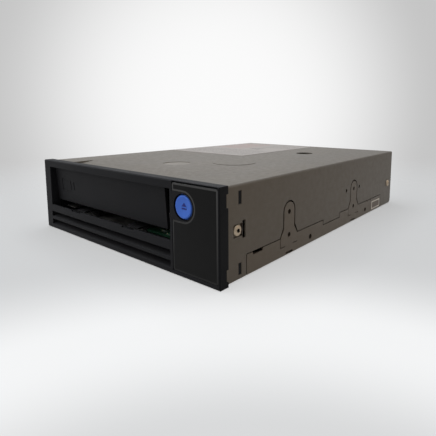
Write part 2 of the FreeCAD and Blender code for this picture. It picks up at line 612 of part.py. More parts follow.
def front_bezel():
    half = S.bezel_width / 2
    bezel = Body()
    bezel.pad("y", FRONT, DATUM, rect(-half, half, 0, S.bezel_height))
    bezel.round_edges("Chamfer", S.edge_bevel,
                      lambda edge: abs(edge.BoundBox.YMax - FRONT.value) < 0.01)
    bezel.pocket("y", FRONT - 1, DATUM + 1,
                 rect(-S.slot_left, S.slot_right, S.slot_foot, S.slot_head))
    # room behind the top bar for the door's upper edge and its pivots
    bezel.pocket("y", WALL_BACK, DATUM + 1,
                 rect(-S.slot_left, S.slot_right, S.slot_foot + PAST, S.slot_head + 2.7))
    # behind its front lip the sill drops away
    bezel.pocket("y", FRONT + S.sill_lip, DATUM + 1,
                 rect(-S.slot_left, S.slot_right, S.slot_foot - S.sill_drop, S.slot_foot + PAST))
    # notches in the sill, for the guide fingers
    for x in (-S.notch_one_x, S.notch_two_x):
        bezel.pocket("y", FRONT - 1, DATUM + 1,
                     rect(x - S.notch_width / 2, x + S.notch_width / 2,
                          S.slot_foot - S.sill_notch, S.slot_foot + 0.5))
    # air inlets: the floor of each slopes up from its front edge
    for row in range(2):
        foot = S.louver_foot + row * S.louver_pitch
        head = foot + S.louver_open
        slope = [(FRONT - 1, foot), (FRONT, foot), (DATUM - 0.6, foot + S.louver_rise),
                 (DATUM + 1, foot + S.louver_rise), (DATUM + 1, head), (FRONT - 1, head)]
        bezel.pocket("x", -S.louver_left, S.louver_right, slope)
    # hollow behind the control panel
    bezel.pocket("y", WALL_BACK, DATUM + 1, rect(*PANEL_ROOM))
    bezel.pocket("y", FRONT - 1, WALL_BACK + 1,
                 (S.button_x, S.button_z, S.button_radius + S.button_gap))
    for number in range(3):
        z = S.lamp_z + number * S.lamp_pitch
        bezel.pocket("y", FRONT - 1, WALL_BACK + 1,
                     rect(S.lamp_x - S.guide_half_x, S.lamp_x + S.guide_half_x, z - S.lamp_half,
                          z + S.lamp_half))

    recess = cut(
        box(S.panel_left + S.panel_rim, S.panel_right - S.panel_rim, FRONT - 1,
            FRONT + S.panel_recess, S.panel_foot + S.panel_rim, S.panel_head - S.panel_rim),
        *button_island(FRONT - PAST, FRONT + PAST, 0))
    # a dark groove runs along the head of the recess
    brow = S.panel_head - S.panel_rim
    groove = box(S.panel_left + S.panel_rim, S.panel_right - S.panel_rim, FRONT - 1,
                 FRONT + S.brow_deep, brow - 0.1, brow + S.brow_groove)
    tools = [recess, groove]
    for low, tall in HOOKS:
        tools += flanks(SIDE, half + 1, DATUM - S.side_notch, DATUM + 1, low, low + tall)
    pivot = DATUM - S.door_pivot_y
    pin_hole = S.pin_radius + S.fit_gap
    tools.append(rod("x", -S.slot_left - S.left_pin, pivot, S.door_pivot_z, pin_hole, 4.0))
    ear = box(S.door_ear_x, S.door_ear_x + S.door_ear, WALL_BACK, DATUM,
              S.door_pivot_z - S.ear_drop, S.slot_head + 3.0)
    ear = cut(ear, rod("x", S.door_ear_x - 1, pivot, S.door_pivot_z, pin_hole, S.door_ear + 2))
    extras = [ear]
    for x, z in PANEL_BOSSES:
        extras.append(rod("y", x, WALL_BACK - 0.3, z, 2.0, PANEL_BOARD - WALL_BACK + 0.3))
    # snap arms that reach back into the cover
    for low, tall in HOOKS:
        arm = INNER - S.hook_clear
        foot, head = low + S.hook_clear, low + tall - S.hook_clear
        hook = depth(S.hook_y + S.hook_clear)
        extras += flanks(arm - S.hook_arm, arm, DATUM - 0.5, depth(S.hook_y + S.hook_long),
                         foot, head)
        extras += flanks(arm - 0.5, SIDE - 0.1, hook, depth(S.hook_y + S.hook_long)
                         - S.hook_clear, foot, head)
    return node(fuse(cut(bezel.body, *tools), *extras), "front_bezel")


def button_island(y0, y1, grow):
    """The U-shaped land round the button, open to the left of the panel."""
    radius = S.button_radius + S.island_land + grow
    return [rod("y", S.button_x, y0, S.button_z, radius, size(y1) - y0),
            box(S.panel_left - 1, S.button_x, y0, y1, S.button_z - radius, S.button_z + radius)]


def panel_overlay():
    gap = 0.1
    back = FRONT + S.panel_recess
    plate = Body()
    left, right = S.panel_left + S.panel_rim + gap, S.panel_right - S.panel_rim - gap
    foot, head = S.panel_foot + S.panel_rim + gap, S.panel_head - S.panel_rim - gap
    plate.pad("y", back - S.overlay_thick, back, rect(left, right, foot, head))
    plate.round_edges("Fillet", S.panel_corner, lambda edge: edge.BoundBox.YLength > 0.1
                      and edge.BoundBox.XLength < 0.01 and edge.BoundBox.ZLength < 0.01)
    return node(cut(plate.body, *button_island(FRONT - PAST, DATUM, gap)), "panel_overlay")


BUTTON_Y = FRONT + 0.1


def unload_button():
    """The round button: cap, retaining flange and stem, with a pressed-in eject sign."""
    button = Body(S.button_x, BUTTON_Y, S.button_z, -90.0, Vector(1, 0, 0))
    radius, back = S.button_radius, S.button_body
    flange = back + S.button_flange
    button.turned([(0, 0.25), (radius - 1.2, 0.15), (radius - 0.4, 0), (radius, 0.4),
                   (radius, back), (radius + S.button_collar, back),
                   (radius + S.button_collar, flange), (S.stem_radius, flange),
                   (S.stem_radius, flange + S.button_stem), (0, flange + S.button_stem)])
    deep = 0.25 + S.icon_depth
    triangle = [(-1.9, 0.3), (1.9, 0.3), (0, -2.2)]
    button.pocket("z", -1, deep, triangle, rect(-1.9, 1.9, 1.0, 1.9))
    return node(button, "unload_button")


COIL_TURNS = 3


def coil(label, centre, direction, radius, wire, length):
    """A round-wire coil spring; its last wire ends lie length apart."""
    radius, wire = radius.value, wire.value
    turns = COIL_TURNS
    pitch = (length.value - 2 * wire) / turns
    helix = Part.makeHelix(pitch, pitch * turns, radius)
    start = helix.Edges[0].valueAt(helix.Edges[0].FirstParameter)
    tangent = helix.Edges[0].tangentAt(helix.Edges[0].FirstParameter)
    section = Part.Wire([Part.makeCircle(wire, start, tangent)])
    spring = doc.addObject("Part::Feature", "Coil")
    spring.Shape = Part.Wire(helix.Edges).makePipeShell([section], True, True)
    turn = FreeCAD.Rotation(Vector(0, 0, 1), direction)
    spring.Placement = FreeCAD.Placement(centre + direction * wire, turn)
    return node(spring, label)


def button_spring():
    start = BUTTON_Y + S.button_body + S.button_flange + 0.05
    length = PANEL_BOARD - start - 0.05
    centre = Vector(S.button_x.value, start.value, S.button_z.value)
    coil("button_spring", centre, Vector(0, 1, 0), S.spring_radius, S.spring_wire, length)


def control_board():
    left, right = S.panel_left + S.board_edge, S.panel_right - 4.05
    back = PANEL_BOARD + S.board_thick
    board = Body()
    board.pad("y", PANEL_BOARD, back, rect(left, right, 3.2, 39.4))
    board.pocket("y", PANEL_BOARD - 1, back + 1, *[(x, z, 1.1) for x, z in PANEL_BOSSES])
    node(board, "panel_board")
    half = S.switch_half
    switch = box(S.button_x - half, S.button_x + half, PANEL_BOARD - S.switch_tall,
                 PANEL_BOARD, S.button_z - half, S.button_z + half)
    # the plunger ends just short of the stem of a pressed button
    stem_end = BUTTON_Y + S.button_body + S.button_flange + S.button_stem
    reach = stem_end + S.button_travel + S.press_gap
    plunger = rod("y", S.button_x, reach, S.button_z, S.plunger_radius, PANEL_BOARD - reach)
    node(fuse(switch, plunger), "unload_switch")
    lamps, prisms = [], []
    tip = FRONT + S.panel_recess
    clear = S.guide_clear
    for number in range(3):
        z = S.lamp_z + number * S.lamp_pitch
        lamps.append(box(S.lamp_x - 0.8, S.lamp_x + 0.8, PANEL_BOARD - 0.9, PANEL_BOARD,
                         z - 0.5, z + 0.5))
        prisms.append(box(S.lamp_x - S.guide_half_x + clear, S.lamp_x + S.guide_half_x - clear,
                          tip, WALL_BACK + 0.2, z - S.lamp_half + clear, z + S.lamp_half - clear))
    node(group(*lamps), "status_lamps")
    prisms.append(box(S.lamp_x - S.guide_half_x - 0.8, S.lamp_x + S.guide_half_x + 0.4,
                      WALL_BACK, WALL_BACK + S.guide_plate, S.lamp_z - 2.2,
                      S.lamp_z + 2 * S.lamp_pitch + 2.2))
    node(fuse(*prisms), "light_guide")


# ---------------------------------------------------------------------------
# Door and cartridge path.
# ---------------------------------------------------------------------------
def cartridge_door():
    """The flap in the slot; it hangs from two pins and swings up into the drive."""
    pivot = DATUM - S.door_pivot_y
    door = Body(0, pivot, S.door_pivot_z, S.door_lean.value, Vector(1, 0, 0))
    half = S.door_thick / 2
    left, right = -S.door_left, S.door_right
    door.pad("x", left, right, rect(-half, half, -S.door_drop, 0))
    door.pad("x", left, right, (0, 0, half))
    door.pad("x", left - S.left_pin, left, (0, 0, S.pin_radius))
    door.pad("x", right, S.door_ear_x + S.door_ear, (0, 0, S.pin_radius))
    door.round_edges("Fillet", 0.4, lambda edge: edge.BoundBox.XLength > 90
                     and edge.BoundBox.ZMax < S.door_pivot_z.value - 20)
    # a pressed-in cartridge outline and an arrow that points into the slot
    x0, z0 = -S.mark_x, -S.mark_z
    x1, z1 = x0 + S.mark_width, z0 + S.mark_height
    line = S.mark_line
    door.pocket("y", -half - 1, -half + S.mark_depth, rect(x0, x1, z0, z1),
                rect(x0 + line, x1 - line, z0 + line, z1 - line))
    butt = x1 + S.arrow_gap
    door.pocket("y", -half - 1, -half + S.mark_depth,
                [(butt, z0 + S.arrow_inset), (butt + S.arrow_long, (z0 + z1) / 2),
                 (butt, z1 - S.arrow_inset)])
    return node(door, "cartridge_door")


def door_spring():
    start = S.door_right + 0.3
    centre = Vector(start.value, (DATUM - S.door_pivot_y).value, S.door_pivot_z.value)
    length = S.door_ear_x - start - 0.2
    coil("door_spring", centre, Vector(1, 0, 0), S.hinge_coil, S.hinge_wire, length)


PATH_LEFT = -S.cartridge_x - S.cartridge_width / 2
PATH_RIGHT = -S.cartridge_x + S.cartridge_width / 2
READER_Z = S.path_floor - S.reader_drop


def slot_guides():
    """Fixed plastic guides just behind the door, with the fingers seen at the sill."""
    front, rear = depth(S.guide_front), depth(S.guide_rear)
    left, right = PATH_LEFT - S.path_clear, PATH_RIGHT + S.path_clear
    outer_left, outer_right = left - S.guide_wall, right + S.guide_wall
    foot, step, head = S.guide_foot, S.guide_step, S.path_roof
    ledge = S.path_floor
    # above the step the walls stand back, to let the door swing up between them
    left_guide = fuse(box(outer_left, left, front, rear, foot, step),
                      box(outer_left, -S.door_left - S.door_room, front, rear, foot, head),
                      box(left - 0.5, left + S.guide_ledge, front, rear, ledge - 1.0, ledge))
    right_guide = fuse(box(right, outer_right, front, rear, foot, step),
                       box(S.door_right + S.door_room, outer_right, front, rear, foot, head),
                       box(right - S.reader_shelf, right + 0.5, front + 1.4, rear - 1.5,
                           foot, READER_Z))
    node(group(left_guide, right_guide), "slot_guides")
    fingers = []
    for x in (-S.notch_one_x, S.notch_two_x):
        half = S.notch_width / 2 - 0.6
        tip, low, high = DATUM - S.finger_reach, S.finger_foot, S.finger_top
        leg, rear = depth(S.finger_leg), depth(S.finger_rear)
        reach = [(tip, low), (tip + 0.4, high), (rear, high), (rear, DECK_TOP), (leg, DECK_TOP),
                 (leg, low)]
        fingers.append(prism("x", x - half, x + half, reach))
    node(group(*fingers), "guide_fingers")
    thick = S.leaf_thick
    leaf = [(depth(1.5), 13.6), (depth(12.0), 14.3), (depth(18.0), DECK_TOP),
            (depth(18.6), DECK_TOP), (depth(12.3), 14.3 + thick), (depth(1.5), 13.6 + thick)]
    node(prism("x", -62.0, -52.0, leaf), "cartridge_leaf_spring")


def cartridge_tray():
    """The cage that carries the cartridge back and down on to the drive hub."""
    wall = S.tray_wall
    front, rear = depth(S.tray_front), depth(S.tray_rear)
    left, right = PATH_LEFT - S.rail_gap, PATH_RIGHT + S.rail_gap
    foot, head = S.path_floor - wall, S.path_roof + wall
    solids = [box(left - wall, right + wall, front, rear, S.path_roof, head),
              box(left - wall, left, front, rear, foot, head),
              box(right, right + wall, front, rear, foot, head),
              box(left - wall, left + S.tray_shelf, front, rear, foot, S.path_floor),
              box(right - S.tray_shelf, right + wall, front, rear, foot, S.path_floor)]
    for x in (left, right - S.tray_stop):
        solids.append(box(x, x + S.tray_stop, rear - wall, rear, foot, head))
    for y in (depth(S.tray_pin_one), depth(S.tray_pin_two)):
        solids.append(rod("x", right, y, S.tray_pin_z, S.tray_pin,
                          S.rack_x + S.rack_plate - right))
    return node(fuse(*solids), "cartridge_tray")


PITCH = math.pi * S.gear_module
RACK_FACE = S.rack_x + S.rack_plate
RACK_LINE = RACK_FACE + 1.25 * S.gear_module
PINION_X = RACK_LINE + S.pinion_teeth * S.gear_module / 2
PINION_Y = depth(S.pinion_y)
TRAIN = (S.wheel_teeth + S.motor_teeth) * S.gear_module / 2
MOTOR_X = PINION_X + TRAIN * 0.6
MOTOR_Y = PINION_Y - TRAIN * 0.8
RACK_FOOT = DECK_TOP + S.rack_gap


def load_rack():
    """The sliding plate that the loading gear drives; the tray's pins drop in its slots."""
    front, rear = depth(S.tray_front + 4), depth(S.tray_rear - 3)
    plate = box(S.rack_x, RACK_FACE, front, rear, RACK_FOOT, S.rack_head)
    slots = []
    for y in (depth(S.tray_pin_one), depth(S.tray_pin_two)):
        half = S.tray_pin + S.pin_gap
        slots.append(box(S.rack_x - 1, RACK_FACE + 1, y - half, y + half,
                         S.tray_pin_z - half - S.tray_drop, S.tray_pin_z + half))
    # the window that the wheel of the loading gear stands in
    slots.append(box(S.rack_x - 1, RACK_FACE + 1, PINION_Y - 6.5 - S.tray_travel, PINION_Y + 6.5,
                     S.wheel_z - S.wheel_room, S.wheel_z + S.wheel_thick + S.wheel_room))
    teeth = []
    count = int(S.rack_teeth.value)
    for number in range(count):
        y = PINION_Y + (number - count + 2.5) * PITCH
        tip = RACK_LINE + S.gear_module * 0.85
        teeth.append(prism("z", RACK_FOOT, RACK_FOOT + S.rack_tooth_tall,
                           [(RACK_FACE - 0.3, y - PITCH * 0.29), (tip, y - PITCH * 0.10),
                            (tip, y + PITCH * 0.10), (RACK_FACE - 0.3, y + PITCH * 0.29)]))
    return node(fuse(cut(plate, *slots), *teeth), "load_rack")


def gear_body(x, y, z, teeth, thick, phase, bore):
    """A spur gear with straight-sided teeth, one of them pointing at phase degrees."""
    gear = Body(x, y, z, phase)
    pitch = teeth * S.gear_module / 2
    root, tip = pitch - 1.15 * S.gear_module, pitch + 0.85 * S.gear_module
    gear.pad("z", 0, thick, (0, 0, root))
    foot, edge = PITCH * 0.25, PITCH * 0.10
    tooth = gear.pad("z", 0, thick, [(root - 0.4, -foot), (tip, -edge), (tip, edge),
                                     (root - 0.4, foot)])
    gear.around(tooth, teeth)
    gear.pocket("z", -1, size(thick) + 1, (0, 0, bore))
    return gear.body


def loader():
    pin_bore = S.gear_pin + S.fit_gap
    pinion = gear_body(PINION_X, PINION_Y, RACK_FOOT, S.pinion_teeth, S.rack_tooth_tall, 180.0,
                       pin_bore)
    wheel_angle = -math.degrees(math.atan2(0.8, 0.6))
    wheel = gear_body(PINION_X, PINION_Y, S.wheel_z, S.wheel_teeth, S.wheel_thick, wheel_angle,
                      pin_bore)
    neck = cut(rod("z", PINION_X, PINION_Y, RACK_FOOT + S.rack_tooth_tall, S.gear_neck,
                   S.wheel_z - RACK_FOOT - S.rack_tooth_tall),
               rod("z", PINION_X, PINION_Y, RACK_FOOT, pin_bore, S.wheel_z))
    node(fuse(pinion, neck, wheel), "load_gear")

    plate_z = S.wheel_z + S.wheel_thick + S.gear_clear
    motor_z = plate_z + S.loader_plate
    shaft = S.gear_pin - 0.5
    node(gear_body(MOTOR_X, MOTOR_Y, S.wheel_z, S.motor_teeth, S.wheel_thick,
                   180.0 + wheel_angle + 180.0 / S.motor_teeth.value, shaft + S.fit_gap),
         "load_motor_pinion")
    motor = fuse(rod("z", MOTOR_X, MOTOR_Y, motor_z, S.loader_motor, S.loader_motor_tall),
                 rod("z", MOTOR_X, MOTOR_Y, S.wheel_z - 0.3, shaft, motor_z - S.wheel_z + 1))
    node(motor, "load_motor")
    posts = [(PINION_X + 12, PINION_Y + 12), (PINION_X + 14, PINION_Y - 26),
             (PINION_X - 3, PINION_Y - 26)]
    x0, x1 = PINION_X - 6, PINION_X + 16.4
    plate = box(x0, x1, PINION_Y - 29, PINION_Y + 15, plate_z, motor_z)
    tall = plate_z - DECK_TOP + 0.2
    solids = [plate] + [rod("z", x, y, DECK_TOP, S.loader_post, tall) for x, y in posts]
    hole = rod("z", MOTOR_X, MOTOR_Y, plate_z - 1, shaft + 0.6, S.loader_plate + 2)
    bracket = fuse(cut(fuse(*solids), hole),
                   rod("z", PINION_X, PINION_Y, DECK_TOP, S.gear_pin, tall))
    node(bracket, "loader_bracket")


def side_rail():
    """The fixed rail that the tray's left wall runs along."""
    face = PATH_LEFT - S.rail_gap - S.tray_wall - S.rail_gap
    front = depth(S.guide_rear + 0.5)
    rail = fuse(box(face - S.rail_thick, face, front, depth(S.rail_rear), DECK_TOP, S.rail_head),
                box(face - S.rail_thick, face, depth(60), depth(72), DECK_TOP, ROOF - 1.5))
    return node(rail, "side_rail")


def reader_board():
    """The small board under the slot that reads the cartridge's memory chip."""
    front, rear = depth(2.0), depth(20.0)
    top = READER_Z + S.board_thick
    right = PATH_RIGHT - 1.0
    board = box(right - S.reader_width, right, front, rear, READER_Z, top)
    x, y = right - S.reader_width / 2, depth(11.0)
    ring = cut(rod("z", x, y, top, 6.0, 0.4), rod("z", x, y, top - 1, 4.6, 3.0))
    chip = box(right - 4.0, right - 0.6, front + 0.6, front + 4.0, top, top + 0.8)
    node(group(board, ring, chip), "memory_reader_board")


# ---------------------------------------------------------------------------
# Deck, drive hub and take-up reel.
# ---------------------------------------------------------------------------
HUB_X = -S.cartridge_x
HUB_Y = depth(S.hub_y)
REEL_X = -S.reel_x
REEL_Y = depth(S.reel_y)


def deck_frame():
    deck = Body()
    wide = S.deck_half
    front, rear = depth(S.deck_front), depth(S.deck_rear)
    deck.pad("z", S.deck_z, DECK_TOP, rect(-wide, wide, front, rear))
    deck.pocket("z", S.deck_z - 1, DECK_TOP + 1, (HUB_X, HUB_Y, S.hub_rotor + 1.0),
                (REEL_X, REEL_Y, S.reel_rotor + 1.0))
    solids, tools = [deck.body], []
    # ears for the cover screws: the front pair stands in the cover's dimples
    outer = [INNER - S.dimple_depth - S.ear_gap, SIDE - S.base_gauge - S.ear_gap]
    for face, (y, z), low in zip(outer, SCREWS, (front, rear - 9)):
        high = low + S.ear_long
        solids += flanks(wide - 1, face, low, high, S.deck_z, DECK_TOP)
        solids += flanks(face - S.ear_thick, face, low, high, S.deck_z, z + S.ear_rise)
        tools += side_rods(face - PAST, face + PAST, y, z, S.screw_shank + 0.02)
    for side in (-1, 1):
        for y in DECK_POSTS:
            x = side * S.post_x
            tools.append(rod("z", x, y, S.deck_z - 1, S.deck_screw_shank + 0.1, 5.0))
            tools.append(rod("z", x, y, DECK_TOP - 1.0, S.deck_screw_head + 0.2, 3.0))
    # room for the rear connectors, which stand up past the deck
    tools.append(box(-S.port_half - 1, S.service_x + S.service_half + 1,
                     REAR + S.port_reach - S.port_depth - 0.6, rear + 1, S.deck_z - 1,
                     DECK_TOP + 1))
    return node(cut(fuse(*solids), *tools), "deck_frame")


def reel_motors():
    """Flat motors under the deck, each with a fixed spindle that its rotor turns on."""
    low = S.deck_z - S.stator_thick
    spin = S.spindle + S.fit_gap
    rotor_z = S.deck_z + S.motor_gap
    for label, x, y, radius, tall in (("hub_motor_stator", HUB_X, HUB_Y, S.hub_motor, 4.2),
                                      ("reel_motor_stator", REEL_X, REEL_Y, S.reel_motor, 20.0)):
        stator = Body(x, y, low)
        stator.turned([(0, 0), (radius, 0), (radius, S.stator_thick), (S.spindle, S.stator_thick),
                       (S.spindle, S.stator_thick + tall), (0, S.stator_thick + tall)])
        node(stator, label)

    rotor = Body(HUB_X, HUB_Y, rotor_z)
    rotor.turned([(spin, 0), (S.hub_rotor, 0), (S.hub_rotor, S.rotor_thick),
                  (spin, S.rotor_thick)])
    node(rotor, "hub_rotor")
    clutch = Body(HUB_X, HUB_Y, rotor_z + S.rotor_thick)
    face = S.clutch_tall - S.tooth_deep
    clutch.turned([(S.clutch_inner, 0), (S.clutch_outer, 0), (S.clutch_outer, face),
                   (S.clutch_inner, face)])
    tooth = clutch.pad("z", face - 0.1, S.clutch_tall,
                       rect(S.clutch_inner + 0.8, S.clutch_outer - 0.6, -0.7, 0.7))
    clutch.around(tooth, size(24))
    node(clutch, "hub_clutch")

    reel_rotor = Body(REEL_X, REEL_Y, rotor_z)
    tall = S.reel_foot - rotor_z
    reel_rotor.turned([(spin, 0), (S.reel_rotor, 0), (S.reel_rotor, tall), (spin, tall)])
    node(reel_rotor, "reel_rotor")
    hub = Body(REEL_X, REEL_Y, S.reel_foot)
    disc, wide = S.reel_flange, S.reel_radius
    top = disc + S.tape_width
    hub.turned([(spin, 0), (wide, 0), (wide, disc), (S.reel_hub, disc), (S.reel_hub, top),
                (S.reel_hub - 3, top), (S.reel_hub - 3, disc), (spin + 4, disc),
                (spin + 4, disc + 9), (spin, disc + 9)])
    node(hub, "takeup_reel")
    flange = Body(REEL_X, REEL_Y, S.reel_foot + top)
    flange.turned([(S.reel_hub - 3, 0), (wide, 0), (wide, disc), (S.reel_hub - 3, disc)])
    node(flange, "takeup_reel_flange")


# ---------------------------------------------------------------------------
# Tape path: guide rollers, head and threader.
# ---------------------------------------------------------------------------
# each guide roller: letter, place across, place along
ROLLERS = (("a", 52.0, 102.0), ("b", 57.0, 122.0), ("c", 56.0, 152.0), ("d", 33.5, 173.0))


def guide_rollers():
    posts = []
    for letter, x, y in ROLLERS:
        roller = Body(x, depth(y), S.roller_foot)
        bore = S.roller_pin + S.fit_gap
        lip, tall = S.roller_lip_thick, S.roller_tall
        roller.turned([(bore, 0), (S.roller_lip, 0), (S.roller_lip, lip), (S.roller_radius, lip),
                       (S.roller_radius, tall - lip), (S.roller_lip, tall - lip),
                       (S.roller_lip, tall), (bore, tall)])
        node(roller, f"guide_roller_{letter}")
        collar = S.roller_foot - S.collar_gap - DECK_TOP
        post = Body(x, depth(y), DECK_TOP)
        pin = S.roller_foot + tall - DECK_TOP + S.pin_above
        wide = S.roller_collar
        post.turned([(0, 0), (wide, 0), (wide, collar), (S.roller_pin, collar),
                     (S.roller_pin, pin), (0, pin)])
        posts.append(post.body)
    node(group(*posts), "roller_posts")


def head_unit():
    x, y = S.head_x, depth(S.head_y)
    base_top = DECK_TOP + S.head_base
    node(box(S.rod_x - 4, S.head_face_x, y - 11, y + 11, DECK_TOP, base_top), "head_base")
    rods = [rod("z", S.rod_x, y + side * S.rod_offset, base_top, S.rod_radius,
                S.head_top - base_top) for side in (-1, 1)]
    node(group(*rods), "head_guide_rods")
    motor_top = base_top + S.head_motor_tall
    fit = S.fit_gap
    motor = cut(rod("z", x, y, base_top, S.head_motor, S.head_motor_tall),
                rod("z", x, y, base_top + 1.5, S.screw_radius + fit, 10.0),
                *[rod("z", S.rod_x, y + side * S.rod_offset, base_top - 1, S.rod_radius + 0.4, 9.0)
                  for side in (-1, 1)])
    node(motor, "head_motor")
    node(rod("z", x, y, motor_top - 3.0, S.screw_radius, S.head_top - motor_top + 3.0),
         "lead_screw")
    low, high = S.carriage_z, S.carriage_z + S.carriage_tall
    half = S.carriage_half
    plate = box(S.rod_x - 3.2, S.head_face_x - S.head_block, y - half, y + half, low, high)
    bores = [rod("z", S.rod_x, y + side * S.rod_offset, low - 1, S.rod_radius + fit, 9.0)
             for side in (-1, 1)]
    bores.append(rod("z", x, y, low - 1, S.screw_radius + fit, 9.0))
    node(cut(plate, *bores), "head_carriage")
    block = Body()
    face, back = S.head_face_x, S.head_face_x - S.head_block
    nose = 1.6
    block.pad("z", S.head_foot, S.head_crown,
              [(back, y - S.head_half), (face - nose, y - S.head_half), (face, y - 2.4),
               (face, y + 2.4), (face - nose, y + S.head_half), (back, y + S.head_half)])
    node(block, "read_write_head")


def threader():
    """The arm that draws the tape's leader from the cartridge to the reel."""
    x, y = S.arm_x, depth(S.arm_y)
    gear_z = S.arm_z - S.gear_thick
    bore = S.arm_post + S.fit_gap
    collar = gear_z - S.collar_gap - DECK_TOP
    post = Body(x, y, DECK_TOP)
    top = S.arm_z + S.arm_thick - DECK_TOP + S.pin_above
    wide = S.post_collar
    post.turned([(0, 0), (wide, 0), (wide, collar), (S.arm_post, collar), (S.arm_post, top),
                 (0, top)])
    node(post, "threader_post")
    mesh = S.arm_mesh.value
    node(gear_body(x, y, gear_z, S.arm_teeth, S.gear_thick, mesh, bore), "threader_gear")

    arm = Body(x, y, S.arm_z, S.arm_rest.value)
    reach, half = S.arm_reach, S.arm_half
    narrow, tip = half - S.arm_taper, reach + S.grab_half + 0.2
    arm.pad("z", 0, S.arm_thick, [(-S.arm_tail, -half), (tip, -narrow), (tip, narrow),
                                  (-S.arm_tail, half)])
    arm.pocket("z", -1, S.arm_thick + 1, (0, 0, bore))
    node(arm, "threader_arm")
    grab = S.grab_half
    grabber = Body(x, y, S.grab_foot, S.arm_rest.value)
    tall = S.arm_z - S.grab_foot
    grabber.pad("z", 0, tall, rect(reach - grab, reach + grab, -grab, grab))
    grabber.pocket("z", 3, tall - 3, rect(reach - 1.2, reach + grab + 1, -1.2, 1.2))
    node(grabber, "leader_grabber")

    apart = (S.arm_teeth + S.arm_pinion_teeth) * S.gear_module / 2
    motor_x = x + apart * math.cos(math.radians(mesh))
    motor_y = y + apart * math.sin(math.radians(mesh))
    phase = mesh + 180.0 + 180.0 / S.arm_pinion_teeth.value
    shaft = S.shaft_radius
    node(gear_body(motor_x, motor_y, gear_z, S.arm_pinion_teeth, S.gear_thick, phase,
                   shaft + S.fit_gap), "threader_pinion")
    body = rod("z", motor_x, motor_y, DECK_TOP, S.arm_motor, gear_z - S.gear_clear - DECK_TOP)
    stem = rod("z", motor_x, motor_y, DECK_TOP, shaft,
               gear_z + S.gear_thick + S.gear_clear - DECK_TOP)
    node(fuse(body, stem), "threader_motor")


# ---------------------------------------------------------------------------
# Electronics, connectors, labels and screws.
# ---------------------------------------------------------------------------
# chips of the main board: place across, place along, edge, height
CHIPS = ((30.0, 60.0, 24.0, 1.3), (0.0, 118.0, 20.0, 1.2), (48.0, 96.0, 16.0, 1.2),
         (-50.0, 60.0, 14.0, 1.1), (38.0, 150.0, 18.0, 1.3), (-56.0, 150.0, 9.0, 1.1))
CAPACITORS = ((-60.0, 90.0), (-60.0, 100.0), (60.0, 60.0), (60.0, 70.0), (10.0, 186.0),
              (-30.0, 186.0))


def electronics():
    top = S.board_z + S.main_thick
    wide = S.board_half
    board = Body()
    board.pad("z", S.board_z, top, rect(-wide, wide, depth(S.board_front), depth(S.board_rear)))
    holes = []
    for side in (-1, 1):
        holes += [(side * S.standoff_x, y, S.deck_screw_shank + 0.2) for y in STANDOFFS]
        for y in DECK_POSTS[1:]:
            x0, x1 = sorted((side * S.post_x.value - side * 4.0, side * (wide.value + 1.0)))
            holes.append(rect(x0, x1, y - 4, y + 4))
    board.pocket("z", S.board_z - 1, top + 1, *holes)
    node(board, "main_board")
    chips = []
    for x, y, edge, tall in CHIPS:
        half = edge / 2
        chips.append(box(x - half, x + half, depth(y) - half, depth(y) + half, top, top + tall))
    node(group(*chips), "board_chips")
    cans = [rod("z", x, depth(y), top, S.capacitor_radius, S.capacitor_tall)
            for x, y in CAPACITORS]
    node(group(*cans), "board_capacitors")

    port = S.port_half
    start = REAR + S.port_reach - S.port_depth
    housing = Body()
    housing.pad("y", start, REAR + S.port_reach, rect(-port, port, top, top + S.port_tall))
    housing.pocket("y", REAR + S.port_reach - 5.5, REAR + S.port_reach + 1,
                   rect(-port + 1.4, port - 1.4, top + 1.0, top + S.port_tall - 1.0))
    middle = top + S.port_tall / 2
    tongue = box(-port + 3.0, port - 3.0, REAR + S.port_reach - 5.5, REAR + S.port_reach - 0.6,
                 middle - 0.6, middle + 0.6)
    node(group(housing.body, tongue), "data_connector")
    x, half = S.service_x, S.service_half
    service = Body()
    service.pad("y", start + 2, REAR + 3.0, rect(x - half, x + half, top, top + S.service_tall))
    service.pocket("y", REAR - 1.5, REAR + 4.0,
                   rect(x - half + 1, x + half - 1, top + 0.9, top + S.service_tall - 0.9))
    node(service, "service_port")

    low, high = S.board_z - S.flex_drop, S.flex_start
    back, film, end = PANEL_BOARD + S.board_thick, S.flex_thick, depth(S.board_front + 2.3)
    flex = [(back, high), (back, low - film), (end, low - film), (end, S.board_z),
            (end - film, S.board_z), (end - film, low), (back + film, low), (back + film, high)]
    node(prism("x", S.flex_left, S.flex_right, flex), "panel_flex")


